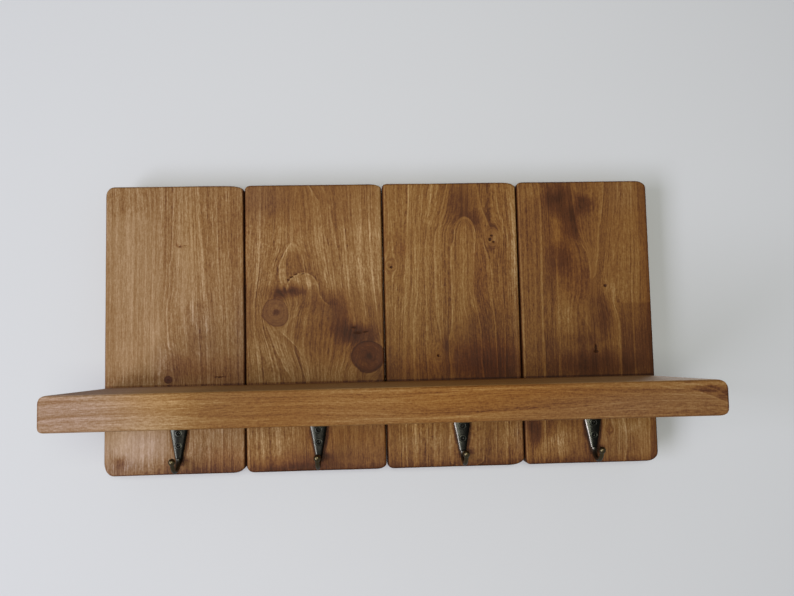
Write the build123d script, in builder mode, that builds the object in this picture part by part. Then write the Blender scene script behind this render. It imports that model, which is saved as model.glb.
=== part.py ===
from build123d import *
from math import cos, radians, sin
import os

# Rustic wall shelf: four boards side by side make a back panel, a thick board stands out
# from them as a shelf, and a cast coat hook is screwed to each board under the shelf.
#
# Sizes are in millimetres. The wall is the plane y = 0 and the room lies towards -Y.
# +Z is up, and +X is to the right of someone who faces the shelf. The origin is midway
# between the two hanging holes, in the plane of the wall.

# Back boards, from left to right, with their grain upright. Each board's own width differs
# a little from the planed stock's width.
board_width = 143.5
board_width_steps = [0.0, 1.0, 0.0, -2.0]
board_height = 300.0
board_thickness = 20.0
board_gap = 0.8
board_outer_corner = 7.0
board_inner_corner = 3.2
board_front_round = 2.6
board_back_round = 1.0

# Shelf board. Its heights are measured from the bottom ends of the back boards.
shelf_depth = 164.0
shelf_thickness = 30.6
shelf_top_height = 90.2
shelf_corner = 4.5
shelf_arris = 3.0

# Battens behind the boards: one near the top, one behind the shelf. The drop is from the
# top ends of the boards to the middle of the upper batten.
batten_thickness = 18.0
batten_height = 44.0
batten_end_inset = 20.0
batten_arris = 1.0
upper_batten_drop = 43.0

# Keyhole hanger plates, let into the back of the upper batten.
keyhole_spacing = 400.0
hanger_length = 36.0
hanger_width = 15.0
hanger_thickness = 1.5
hanger_corner = 2.0
hanger_clearance = 0.15
keyhole_entry_radius = 4.25
keyhole_slot_radius = 2.25
keyhole_travel = 8.0
keyhole_entry_drop = 3.0
keyhole_pocket_radius = 5.0
keyhole_pocket_depth = 8.0

# Cast hooks. Each hook's offset is from the middle of its board.
hook_offsets = [4.5, 2.2, 6.3, 0.9]
hook_top_gap = 3.4
hook_plate_length = 45.1
hook_head_radius = 8.8
hook_tail_radius = 3.1
hook_plate_edge = 1.5
hook_plate_crown = 3.0
hook_bevel_width = 2.1
hook_arm_radius = 2.2
hook_arm_root_depth = 2.5
hook_arm_root_rise = 2.1
hook_bend_radius = 14.7
hook_bend_start = -73.0
hook_bend_end = 76.0
hook_ball_radius = 3.4

# Countersunk wood screws.
screw_clearance = 0.05
screw_tip_radius = 0.3
screw_head_edge = 0.3
shelf_screw_length = 80.0
shelf_screw_radius = 2.5
shelf_screw_head_radius = 4.8
batten_screw_length = 30.0
batten_screw_radius = 2.0
batten_screw_head_radius = 4.0
hanger_screw_length = 12.0
hanger_screw_radius = 1.5
hanger_screw_head_radius = 2.7
hanger_screw_spacing = 28.0
hook_screw_length = 16.0
hook_screw_radius = 1.75
hook_screw_head_radius = 3.4
hook_screw_first = 13.7
hook_screw_spacing = 12.6
batten_screw_spread = 64.0

# The tip of a screw, and its cross recess, follow from its own radius.
tip_slope = 2.0
recess_span_share = 1.1
recess_slot_share = 0.26
recess_depth_share = 0.3

# Places worked out from the sizes above.
board_widths = [board_width + step for step in board_width_steps]
board_count = len(board_widths)
panel_width = sum(board_widths) + board_gap * (board_count - 1)
board_back = -batten_thickness
board_front = board_back - board_thickness
upper_batten_z = keyhole_entry_drop
panel_top = upper_batten_z + upper_batten_drop
panel_bottom = panel_top - board_height
shelf_top = panel_bottom + shelf_top_height
shelf_underside = shelf_top - shelf_thickness
shelf_middle = shelf_top - shelf_thickness / 2
hook_plate_thickness = hook_plate_edge + hook_plate_crown
hook_plate_top = shelf_underside - hook_top_gap


def board_left(index):
    """Left edge of a back board."""
    return -panel_width / 2 + sum(board_widths[:index]) + board_gap * index


def board_middle(index):
    """Middle of a back board."""
    return board_left(index) + board_widths[index] / 2


def hook_x(index):
    """Centre line of a hook."""
    return board_middle(index) + hook_offsets[index]


def screw_pair(index):
    """The two places where long or short screws flank the middle of a board."""
    middle = board_middle(index)
    return [middle - batten_screw_spread / 2, middle + batten_screw_spread / 2]


def back_planes(points, y):
    """Drilling planes at (x, z) points that are drilled from the wall side."""
    return [Plane(origin=(x, y, z), x_dir=(-1, 0, 0), z_dir=(0, 1, 0)) for x, z in points]


def front_planes(points, y):
    """Drilling planes at (x, z) points that are drilled from the room side."""
    return [Plane(origin=(x, y, z), x_dir=(1, 0, 0), z_dir=(0, -1, 0)) for x, z in points]


def save(piece, name):
    """Name a finished piece and write its file."""
    piece.part.label = name
    export_step(piece.part, "parts/" + name + ".step")


# Where the screws go, as (x, z) points.
upper_batten_points = [(x, upper_batten_z) for i in range(board_count) for x in screw_pair(i)]
shelf_screw_points = [(x, shelf_middle) for i in range(board_count) for x in screw_pair(i)]
lower_batten_points = [(board_middle(i), shelf_middle) for i in range(board_count)]
keyhole_x = [-keyhole_spacing / 2, keyhole_spacing / 2]


def hook_screw_points(index):
    """Upper and lower screw of one hook."""
    upper = hook_plate_top - hook_screw_first
    return [(hook_x(index), upper), (hook_x(index), upper - hook_screw_spacing)]


def hanger_screw_points(x):
    """Upper and lower screw of one hanger plate."""
    half = hanger_screw_spacing / 2
    return [(x, upper_batten_z + half), (x, upper_batten_z - half)]


def make_screw(name, plane, length, radius, head_radius):
    """Countersunk wood screw whose head is flush with the plane and which points down it."""
    cone_end = screw_head_edge + head_radius - radius
    tip = tip_slope * radius
    side = Plane(origin=plane.origin, x_dir=-plane.z_dir, z_dir=plane.x_dir)
    with BuildPart() as screw:
        with BuildSketch(side):
            with BuildLine():
                Polyline(
                    (0, 0),
                    (0, head_radius),
                    (screw_head_edge, head_radius),
                    (cone_end, radius),
                    (length - tip, radius),
                    (length, screw_tip_radius),
                    (length, 0),
                    close=True,
                )
            make_face()
        revolve(axis=Axis(plane.origin, plane.z_dir))
        with BuildSketch(plane):
            Rectangle(head_radius * recess_span_share, head_radius * recess_slot_share)
            Rectangle(head_radius * recess_slot_share, head_radius * recess_span_share)
        extrude(amount=-head_radius * recess_depth_share, mode=Mode.SUBTRACT)
    save(screw, name)


def sink_hole(depth, radius, head_radius):
    """Clearance hole with a seat for a countersunk head."""
    seat = head_radius + screw_clearance
    Hole(radius=seat, depth=screw_head_edge + screw_clearance)
    with Locations((0, 0, -screw_head_edge)):
        CounterSinkHole(
            radius=radius + screw_clearance,
            counter_sink_radius=seat,
            depth=depth,
            counter_sink_angle=90,
        )


def make_back_board(index):
    """One back board, drilled for its battens, the shelf and its hook."""
    left = board_left(index)
    width = board_widths[index]
    first = index == 0
    last = index == board_count - 1
    with BuildPart() as board:
        with BuildSketch(Plane.XZ.offset(-board_back)):
            with Locations((left + width / 2, panel_bottom + board_height / 2)):
                Rectangle(width, board_height)
        extrude(amount=board_thickness)
        upright = board.edges().filter_by(Axis.Y).group_by(Axis.X)
        fillet(upright[0], board_outer_corner if first else board_inner_corner)
        upright = board.edges().filter_by(Axis.Y).group_by(Axis.X)
        fillet(upright[-1], board_outer_corner if last else board_inner_corner)
        fillet(board.faces().sort_by(Axis.Y)[0].edges(), board_front_round)
        fillet(board.faces().sort_by(Axis.Y)[-1].edges(), board_back_round)
        short_points = [(x, upper_batten_z) for x in screw_pair(index)]
        short_points.append((board_middle(index), shelf_middle))
        with Locations(back_planes(short_points, board_back)):
            Hole(
                radius=batten_screw_radius + screw_clearance,
                depth=batten_screw_length - batten_thickness + screw_clearance,
            )
        with Locations(back_planes([(x, shelf_middle) for x in screw_pair(index)], board_back)):
            Hole(radius=shelf_screw_radius + screw_clearance, depth=board_thickness)
        with Locations(front_planes(hook_screw_points(index), board_front)):
            Hole(
                radius=hook_screw_radius + screw_clearance,
                depth=hook_screw_length - hook_plate_thickness + screw_clearance,
            )
    save(board, "back_board_" + str(index + 1))


def make_shelf_board():
    """The shelf, with softened arrises and pilot holes in its back edge."""
    with BuildPart() as shelf:
        with BuildSketch(Plane.XY.offset(shelf_underside)):
            with Locations((0, board_front - shelf_depth / 2)):
                Rectangle(panel_width, shelf_depth)
        extrude(amount=shelf_thickness)
        fillet(shelf.edges().filter_by(Axis.Z).group_by(Axis.Y)[0], shelf_corner)
        fillet(shelf.faces().sort_by(Axis.Z)[-1].edges().sort_by(Axis.Y)[:-1], shelf_arris)
        fillet(shelf.faces().sort_by(Axis.Z)[0].edges().sort_by(Axis.Y)[:-1], shelf_arris)
        pilot = shelf_screw_length - batten_thickness - board_thickness
        with Locations(back_planes(shelf_screw_points, board_front)):
            Hole(radius=shelf_screw_radius + screw_clearance, depth=pilot + screw_clearance)
    save(shelf, "shelf_board")


def batten_blank(middle_z):
    """A batten's plain bar as a sketch, ready to be extruded towards the boards."""
    with BuildSketch(Plane.XZ) as section:
        with Locations((0, middle_z)):
            Rectangle(panel_width - 2 * batten_end_inset, batten_height)
    return section.sketch


def keyhole_outline(entry_radius, slot_radius):
    """Keyhole shape about the entry hole: a round entry with a slot above it."""
    Circle(entry_radius)
    with Locations((0, keyhole_travel / 2)):
        Rectangle(2 * slot_radius, keyhole_travel)
    with Locations((0, keyhole_travel)):
        Circle(slot_radius)


def make_upper_batten():
    """Upper batten, with recesses and pockets for the two hanger plates."""
    recess_width = hanger_width + 2 * hanger_clearance
    recess_length = hanger_length + 2 * hanger_clearance
    pilot = hanger_screw_length - hanger_thickness
    floor = -hanger_thickness
    with BuildPart() as batten:
        extrude(batten_blank(upper_batten_z), amount=batten_thickness)
        chamfer(batten.edges().filter_by(Axis.X), batten_arris)
        with Locations(back_planes(upper_batten_points, 0)):
            sink_hole(batten_thickness, batten_screw_radius, batten_screw_head_radius)
        with BuildSketch(*back_planes([(x, upper_batten_z) for x in keyhole_x], 0)):
            RectangleRounded(recess_width, recess_length, hanger_corner)
        extrude(amount=-hanger_thickness, mode=Mode.SUBTRACT)
        with BuildSketch(*back_planes([(x, 0) for x in keyhole_x], floor)):
            keyhole_outline(keyhole_pocket_radius, keyhole_pocket_radius)
        extrude(amount=-keyhole_pocket_depth, mode=Mode.SUBTRACT)
        for x in keyhole_x:
            with Locations(back_planes(hanger_screw_points(x), floor)):
                Hole(radius=hanger_screw_radius + screw_clearance, depth=pilot + screw_clearance)
    save(batten, "upper_batten")


def make_lower_batten():
    """Lower batten, behind the shelf, drilled for short and long screws."""
    with BuildPart() as batten:
        extrude(batten_blank(shelf_middle), amount=batten_thickness)
        chamfer(batten.edges().filter_by(Axis.X), batten_arris)
        with Locations(back_planes(lower_batten_points, 0)):
            sink_hole(batten_thickness, batten_screw_radius, batten_screw_head_radius)
        with Locations(back_planes(shelf_screw_points, 0)):
            sink_hole(batten_thickness, shelf_screw_radius, shelf_screw_head_radius)
    save(batten, "lower_batten")


def make_hanger_plate(name, x):
    """Keyhole hanger: a thin steel plate, flush with the back of the upper batten."""
    with BuildPart() as plate:
        with BuildSketch(*back_planes([(x, upper_batten_z)], 0)):
            RectangleRounded(hanger_width, hanger_length, hanger_corner)
        extrude(amount=-hanger_thickness)
        with BuildSketch(*back_planes([(x, 0)], 0)):
            keyhole_outline(keyhole_entry_radius, keyhole_slot_radius)
        extrude(amount=-hanger_thickness, mode=Mode.SUBTRACT)
        with Locations(back_planes(hanger_screw_points(x), 0)):
            sink_hole(hanger_thickness, hanger_screw_radius, hanger_screw_head_radius)
    save(plate, name)


def hook_outline(middle_x, inset):
    """Long teardrop outline of a hook's plate: a wide round head and a narrow tail."""
    head_z = hook_plate_top - hook_head_radius
    tail_z = hook_plate_top - hook_plate_length + hook_tail_radius
    with Locations((middle_x, head_z)):
        Circle(hook_head_radius - inset)
    with Locations((middle_x, tail_z)):
        Circle(hook_tail_radius - inset)
    make_hull()


def make_hook(index):
    """Cast hook: bevelled plate, arm bent through a J, and a ball at its end."""
    x = hook_x(index)
    tail_z = hook_plate_top - hook_plate_length + hook_tail_radius
    start = radians(hook_bend_start)
    bend_y = board_front - hook_arm_root_depth + hook_bend_radius * sin(start)
    bend_z = tail_z + hook_arm_root_rise + hook_bend_radius * cos(start)
    with BuildPart() as hook:
        with BuildSketch(Plane.XZ.offset(-board_front)):
            hook_outline(x, 0)
        extrude(amount=hook_plate_edge)
        with BuildSketch(Plane.XZ.offset(hook_plate_edge - board_front)):
            hook_outline(x, 0)
        with BuildSketch(Plane.XZ.offset(hook_plate_thickness - board_front)):
            hook_outline(x, hook_bevel_width)
        loft(ruled=True)
        with BuildLine(Plane.YZ.offset(x)) as arm:
            CenterArc(
                (bend_y, bend_z),
                hook_bend_radius,
                -90 - hook_bend_start,
                hook_bend_start - hook_bend_end,
            )
        with BuildSketch(Plane(origin=arm.line @ 0, z_dir=arm.line % 0)):
            Circle(hook_arm_radius)
        sweep(path=arm.line)
        with Locations(arm.line @ 1):
            Sphere(hook_ball_radius)
        with Locations(front_planes(hook_screw_points(index), board_front - hook_plate_thickness)):
            sink_hole(hook_plate_thickness, hook_screw_radius, hook_screw_head_radius)
    save(hook, "hook_" + str(index + 1))


def make_hook_screws(index):
    """The two screws of one hook, flush with the front of its plate."""
    planes = front_planes(hook_screw_points(index), board_front - hook_plate_thickness)
    for place, plane in zip(["upper", "lower"], planes):
        name = "hook_" + str(index + 1) + "_screw_" + place
        make_screw(name, plane, hook_screw_length, hook_screw_radius, hook_screw_head_radius)


def make_hanger(name, x):
    """A hanger plate with its two screws."""
    make_hanger_plate(name, x)
    for place, plane in zip(["upper", "lower"], back_planes(hanger_screw_points(x), 0)):
        make_screw(
            name + "_screw_" + place,
            plane,
            hanger_screw_length,
            hanger_screw_radius,
            hanger_screw_head_radius,
        )


def make_screw_row(name, points, length, radius, head_radius):
    """A numbered row of screws that are driven from the wall side."""
    for number, plane in enumerate(back_planes(points, 0), start=1):
        make_screw(name + "_" + str(number), plane, length, radius, head_radius)


def main():
    """Make every piece of the shelf."""
    os.makedirs("parts", exist_ok=True)
    make_shelf_board()
    make_upper_batten()
    make_lower_batten()
    for index in range(board_count):
        make_back_board(index)
        make_hook(index)
        make_hook_screws(index)
    make_hanger("keyhole_plate_left", keyhole_x[0])
    make_hanger("keyhole_plate_right", keyhole_x[1])
    make_screw_row(
        "shelf_screw",
        shelf_screw_points,
        shelf_screw_length,
        shelf_screw_radius,
        shelf_screw_head_radius,
    )
    short = (batten_screw_length, batten_screw_radius, batten_screw_head_radius)
    make_screw_row("upper_batten_screw", upper_batten_points, *short)
    make_screw_row("lower_batten_screw", lower_batten_points, *short)


main()
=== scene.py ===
from collections import namedtuple
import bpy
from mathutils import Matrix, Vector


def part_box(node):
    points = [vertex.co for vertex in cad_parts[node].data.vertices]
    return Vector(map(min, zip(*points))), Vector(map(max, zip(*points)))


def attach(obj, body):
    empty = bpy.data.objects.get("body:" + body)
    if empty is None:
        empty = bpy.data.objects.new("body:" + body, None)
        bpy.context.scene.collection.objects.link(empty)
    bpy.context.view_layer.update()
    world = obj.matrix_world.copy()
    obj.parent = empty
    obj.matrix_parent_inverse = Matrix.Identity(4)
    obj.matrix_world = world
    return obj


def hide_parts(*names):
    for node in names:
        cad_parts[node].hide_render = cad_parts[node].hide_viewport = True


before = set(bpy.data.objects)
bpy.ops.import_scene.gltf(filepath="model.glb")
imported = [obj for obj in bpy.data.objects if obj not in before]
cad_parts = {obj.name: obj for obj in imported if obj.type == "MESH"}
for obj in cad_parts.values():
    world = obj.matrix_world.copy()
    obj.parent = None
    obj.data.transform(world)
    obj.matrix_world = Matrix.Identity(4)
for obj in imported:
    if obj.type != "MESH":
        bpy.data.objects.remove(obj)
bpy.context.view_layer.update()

from types import SimpleNamespace
import math

import bmesh
import bpy
from mathutils import Vector, noise

# Rustic wall shelf with hooks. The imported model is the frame: every piece here sits where
# its node is. Blender's unit is the metre, and woodworking sizes are given in millimetres.
# The wall is the plane y = 0, the room lies towards -Y and +Z is up.

bl_info = {
    "name": "Rustic Wall Shelf",
    "version": (1, 0, 0),
    "blender": (4, 5, 0),
    "location": "View3D > Sidebar > Wall Shelf",
    "description": "Stained pine boards, a thick shelf and cast hooks, hung on a plain wall",
    "category": "Add Mesh",
}

MM = 0.001
BOARD_COUNT = 4
BODY = "root"

# What the wood shows. All places are in millimetres. On a board they are counted from its left
# edge and its bottom end, and on the shelf up from its underside and along from its left end.
#
# A growth line is pale on one side and has a sharp dark edge on the other. dark is +1 where
# the dark side is the higher one across the grain, and -1 where it is the lower one. ends are
# the two places along the grain between which it shows, and its points are (along, across).
GrowthLine = namedtuple("GrowthLine", "dark strength ends points")

# An oval's across and height are its middle. Stains and nicks are whole ovals, and an arch,
# where a growth line turns over, is the upper half of one.
Oval = namedtuple("Oval", "across height half_width half_height strength")

# A knot is an oval with rings of its own round a dark pith. tone runs from dark (0) to pale
# (1), and cover is how much of the plain grain it hides.
Knot = namedtuple("Knot", "across height half_width half_height rings tone cover tint")

# A patch is a straight-sided area that took more stain, with fairly sharp edges.
Patch = namedtuple("Patch", "left right bottom top tone")

# What each kind of stain does: how much it lightens the tone, and the tint it adds.
StainKind = namedtuple("StainKind", "lift tint")
WHITE = (1.0, 1.0, 1.0)
STAIN_KINDS = {
    "pale": StainKind(0.34, WHITE),
    "grey": StainKind(0.0, (1.0, 1.06, 1.6)),
    "deep": StainKind(-0.42, WHITE),
    "plum": StainKind(-0.40, (1.0, 0.97, 1.0)),
    "red": StainKind(-0.16, (1.0, 0.92, 0.92)),
    "honey": StainKind(0.0, (1.0, 0.96, 0.80)),
    "amber": StainKind(0.0, (1.0, 0.86, 0.56)),
    "russet": StainKind(-0.04, (1.0, 0.87, 0.78)),
    "rose": StainKind(0.0, (1.0, 1.06, 1.35)),
}


def ovals(*rows):
    """Ovals, each from its five numbers."""
    return [Oval(*row) for row in rows]


BOARD_LINES = [
    [
        GrowthLine(-1, 0.75, (130, 400), [(300, 71), (285, 70), (243, 69), (224, 68.5), (213, 65.6),
            (190, 66), (177, 63.4), (161, 62.8), (151, 64.5), (138, 64.2), (123, 68)]),
        GrowthLine(1, 0.8, (134, 176), [(300, 90.5), (177, 90.5), (143, 90.5), (127, 93.5),
            (100, 96)]),
        GrowthLine(1, 0.7, None, [(300, 96), (263, 97), (242, 99), (221, 100.5), (200, 101.5),
            (179, 103), (137, 105.5), (96, 106), (0, 107)]),
        GrowthLine(-1, 0.25, None, [(300, 24), (207, 22.5), (181, 24.5), (160, 26), (134, 28),
            (98, 28), (0, 27)]),
        GrowthLine(-1, 0.3, None, [(300, 37), (243, 41), (180, 40), (98, 39), (0, 36)]),
        GrowthLine(-1, 0.28, None, [(300, 52), (254, 49), (222, 48.5), (149, 48.5), (97, 46.5),
            (0, 45)]),
        GrowthLine(-1, 0.2, None, [(300, 13), (223, 11.5), (150, 11.5), (0, 10)]),
        GrowthLine(1, 0.45, None, [(300, 115.5), (231, 116.5), (189, 118.5), (168, 120.5), (96, 121),
            (0, 120)]),
        GrowthLine(1, 0.4, None, [(300, 128.5), (179, 127.5), (96, 128), (0, 129)]),
    ],
    [
        GrowthLine(1, 0.9, (205, 400), [(300, 67), (286, 75), (278, 79), (259, 80.5), (235, 81.5),
            (208, 85.5), (177, 89.5), (93, 93.5)]),
        GrowthLine(1, 0.9, (190, 275), [(300, 87), (283, 89), (256, 92), (245, 94), (235, 96),
            (224, 98), (208, 100), (192, 101), (160, 106)]),
        GrowthLine(1, 0.6, (180, 250), [(300, 76), (256, 82), (240, 85), (229, 88), (217, 90),
            (203, 93), (187, 95), (150, 100)]),
        GrowthLine(1, 0.55, (152, 280), [(300, 102), (267, 102.5), (251, 104.5), (229, 106),
            (197, 108), (176, 109.5), (163, 111), (150, 115)]),
        GrowthLine(1, 0.5, (158, 285), [(300, 122), (240, 122), (213, 122.5), (181, 124.5),
            (165, 125.5), (140, 128)]),
        GrowthLine(1, 0.55, (165, 260), [(300, 128), (266, 130), (250, 132), (231, 131), (218, 132),
            (202, 133.5), (186, 134.5), (150, 138)]),
        GrowthLine(-1, 1.3, (196, 236), [(300, 48), (241, 48), (235, 46), (230, 43), (223, 39.5),
            (217, 37), (209, 35.5), (202, 36), (194, 37.5), (183, 39.5)]),
        GrowthLine(-1, 0.4, (240, 275), [(300, 48), (241, 48), (183, 48)]),
        GrowthLine(1, 1.1, (173, 187), [(300, 76.8), (187, 76.8), (180, 79), (174, 83), (168, 87)]),
        GrowthLine(-1, 0.9, (60, 148), [(160, 19), (152, 21.5), (136, 27.5), (125, 31.5), (115, 36.5),
            (104, 41.5), (92, 47.5)]),
        GrowthLine(-1, 1.2, (60, 143), [(152, 31), (144, 37), (136, 45), (130, 51), (125, 54.5),
            (114, 57.5), (104, 59), (92, 62)]),
        GrowthLine(1, 0.7, (156, 178), [(183, 50), (177, 53), (168, 54.5), (160, 52.5), (152, 46)]),
        GrowthLine(1, 0.8, (60, 140), [(150, 93), (129, 90), (119, 88.5), (109, 86.5), (91, 83)]),
        GrowthLine(1, 0.7, (60, 130), [(135, 112), (129, 108.5), (119, 103), (108, 101), (91, 98.5)]),
    ],
    [
        GrowthLine(-1, 0.7, None, [(300, 28), (282, 27), (250, 25), (175, 21), (91, 17), (44, 15.8),
            (0, 15.2)]),
        GrowthLine(-1, 0.8, None, [(300, 41), (285, 39.5), (255, 35.5), (239, 33.5), (196, 33),
            (133, 29.5), (91, 29.5), (44, 28.6), (0, 27.6)]),
        GrowthLine(-1, 0.8, None, [(300, 53), (271, 49), (249, 47), (217, 44), (175, 44), (127, 43),
            (91, 44), (44, 41.6), (0, 41.2)]),
        GrowthLine(-1, 0.8, (0, 84), [(300, 54), (93, 51), (44, 49.3), (0, 48.8)]),
        GrowthLine(-1, 1.0, (132, 400), [(300, 70), (281, 65), (270, 62.5), (254, 59.5), (238, 54.5),
            (196, 54), (153, 55.5), (137, 58), (122, 58.5)]),
        GrowthLine(-1, 1.0, (0, 241), [(300, 75.5), (243, 75.5), (232, 72.5), (214, 71), (190, 71.5),
            (158, 71), (142, 69.5), (127, 67), (90, 68.5), (60, 66.6), (43, 65.8), (18, 65.1),
            (7, 65.3), (3.5, 67), (1, 72)]),
        GrowthLine(1, 1.0, (0, 241), [(300, 98.5), (243, 98.5), (232, 97.5), (214, 96), (184, 95),
            (174, 96), (152, 100), (131, 102), (110, 102), (89, 103.5), (43, 102.6), (17, 101.2),
            (7, 100.3), (3.5, 98), (1, 93.5)]),
        GrowthLine(1, 0.9, (250, 400), [(300, 101), (275, 105.5), (264, 109.5), (250, 114.5),
            (240, 118)]),
        GrowthLine(1, 0.8, (0, 238), [(240, 105), (232, 107.5), (218, 112), (200, 115), (168, 115.5),
            (141, 117.5), (89, 118), (43, 115.2), (6, 114)]),
        GrowthLine(1, 0.75, None, [(300, 121), (275, 123), (264, 125.5), (253, 128.5), (237, 128.5),
            (216, 127), (184, 126), (152, 127.5), (89, 126), (43, 126.6), (5, 125.3)]),
        GrowthLine(1, 0.8, (0, 84), [(300, 139), (93, 138), (43, 137.1), (0, 136)]),
        GrowthLine(1, 0.4, (255, 400), [(300, 135), (280, 136.5), (269, 140), (253, 142)]),
    ],
    [
        GrowthLine(1, 0.3, None, [(300, 7), (237, 7.5), (173, 4), (88, 4), (0, 5)]),
        GrowthLine(1, 1.0, None, [(300, 23), (280, 25), (264, 25.5), (215, 25), (151, 24),
            (112, 24.5), (44, 22.3), (4, 20.6)]),
        GrowthLine(-1, 0.8, (0, 214), [(240, 40), (215, 40), (172, 40.5), (108, 39.5), (87, 38.5),
            (44, 35.5), (25, 34.7), (4, 36)]),
        GrowthLine(-1, 0.8, (196, 400), [(300, 58), (285, 60), (263, 62.5), (252, 64), (241, 66),
            (230, 69), (225, 72), (220, 73.5), (209, 75.5), (188, 76.5)]),
        GrowthLine(1, 0.7, (196, 400), [(300, 95), (284, 94), (263, 91), (241, 87.5), (219, 85.5),
            (209, 84), (198, 82), (188, 78)]),
        GrowthLine(1, 0.9, (0, 172), [(185, 98), (178, 99), (165, 101.5), (155, 104.5), (144, 106),
            (102, 106.5), (60, 104.5), (44, 105.7), (26, 108.2), (10, 106.5), (0, 103.8)]),
        GrowthLine(1, 0.45, None, [(300, 125), (213, 123.5), (170, 121), (115, 121), (43, 122.2),
            (5, 120.4)]),
        GrowthLine(1, 0.8, (0, 84), [(300, 136), (93, 134), (43, 133.6), (11, 132.1)]),
        GrowthLine(-1, 0.5, (130, 175), [(180, 59), (172, 61), (161, 63.5), (150, 68.5), (139, 73.5),
            (127, 76)]),
    ],
]

BOARD_ARCHES = [
    ovals(),
    ovals((60, 187, 16.8, 18.6, 1.3), (48.5, 208, 13.5, 29, 0.5)),
    ovals((87, 243, 11.5, 19.5, 1.1), (117.5, 239, 8.3, 10.3, 0.4)),
    ovals(),
]

# Guides that the fine grain follows between a board's edges: (place across once the grain
# is straight, points).
BOARD_GUIDES = [
    [
        (40, [(300, 37), (243, 41), (180, 40), (98, 39), (0, 36)]),
        (68, [(300, 71), (224, 68.5), (190, 66), (160, 63.6), (123, 67), (0, 72)]),
        (102, [(300, 96), (242, 99), (200, 101.5), (137, 105.5), (0, 107)]),
    ],
    [
        (20, [(300, 18.5), (209, 17), (164, 15), (130, 17), (95, 19), (0, 20)]),
        (40, [(300, 40), (241, 40), (215, 33), (190, 30), (164, 32), (140, 35), (115, 42), (92, 48),
            (0, 52)]),
        (60, [(300, 54), (250, 52), (225, 56), (205, 58), (185, 60), (164, 54), (140, 52), (115, 57),
            (92, 62), (0, 64)]),
        (82, [(300, 68), (278, 79), (235, 81.5), (208, 85), (177, 89.5), (150, 90), (125, 88),
            (92, 84), (0, 84)]),
        (104, [(300, 100), (256, 102), (229, 104), (197, 106), (170, 110), (140, 114), (117, 112),
            (91, 102), (0, 100)]),
        (126, [(300, 125), (240, 126), (181, 130), (155, 132), (117, 131), (91, 124), (0, 120)]),
    ],
    [
        (20, [(300, 27), (250, 25), (175, 21), (91, 17), (0, 16)]),
        (36, [(300, 40.5), (255, 35.5), (196, 33), (133, 29.5), (0, 29)]),
        (58, [(300, 70), (270, 62.5), (238, 54.5), (196, 54), (153, 55.5), (122, 58.5), (90, 60),
            (0, 58)]),
        (75, [(300, 84), (262, 83), (254, 78), (238, 73.5), (190, 72), (127, 67), (90, 66.5),
            (0, 62)]),
        (98, [(300, 92), (262, 91), (253, 95), (232, 97), (184, 94.5), (152, 100), (89, 103.5),
            (0, 104)]),
        (120, [(300, 112), (264, 113), (240, 117), (200, 119), (141, 122), (0, 122)]),
    ],
    [
        (24, [(300, 23), (264, 25.5), (151, 24), (0, 24)]),
        (44, [(300, 44), (215, 42), (172, 40.5), (108, 39.5), (0, 40)]),
        (66, [(300, 58), (263, 62.5), (241, 66), (209, 75.5), (188, 76), (161, 70), (139, 70),
            (0, 72)]),
        (86, [(300, 95), (263, 91), (219, 85.5), (188, 81), (165, 82), (144, 84), (0, 86)]),
        (105, [(300, 108), (263, 105), (219, 100), (188, 98), (165, 101.5), (144, 105), (0, 106)]),
        (122, [(300, 125), (213, 123.5), (170, 121), (0, 122)]),
    ],
]

BOARD_KNOTS = [
    [Knot(64.8, 97.2, 4.4, 4.2, 1.0, 0.15, 0.9, (1.0, 0.93, 1.0))],
    [
        Knot(32.0, 164.6, 13.6, 14.6, 4.0, 0.38, 0.85, (1.0, 1.02, 1.28)),
        Knot(128.0, 117.0, 17.0, 17.0, 4.0, 0.22, 0.92, (1.0, 0.90, 0.82)),
    ],
    [
        Knot(8, 212, 7.0, 6.0, 3.0, 0.52, 0.35, (1.0, 1.0, 1.0)),
        Knot(116, 241, 8.5, 10.5, 4.0, 0.58, 0.45, (1.0, 1.0, 1.1)),
        Knot(57.5, 115, 5.0, 4.5, 2.5, 0.45, 0.35, (1.0, 1.0, 1.0)),
    ],
    [Knot(90, 34, 4.5, 3.0, 1.0, 0.45, 0.35, (1.0, 0.92, 0.90))],
]

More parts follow.
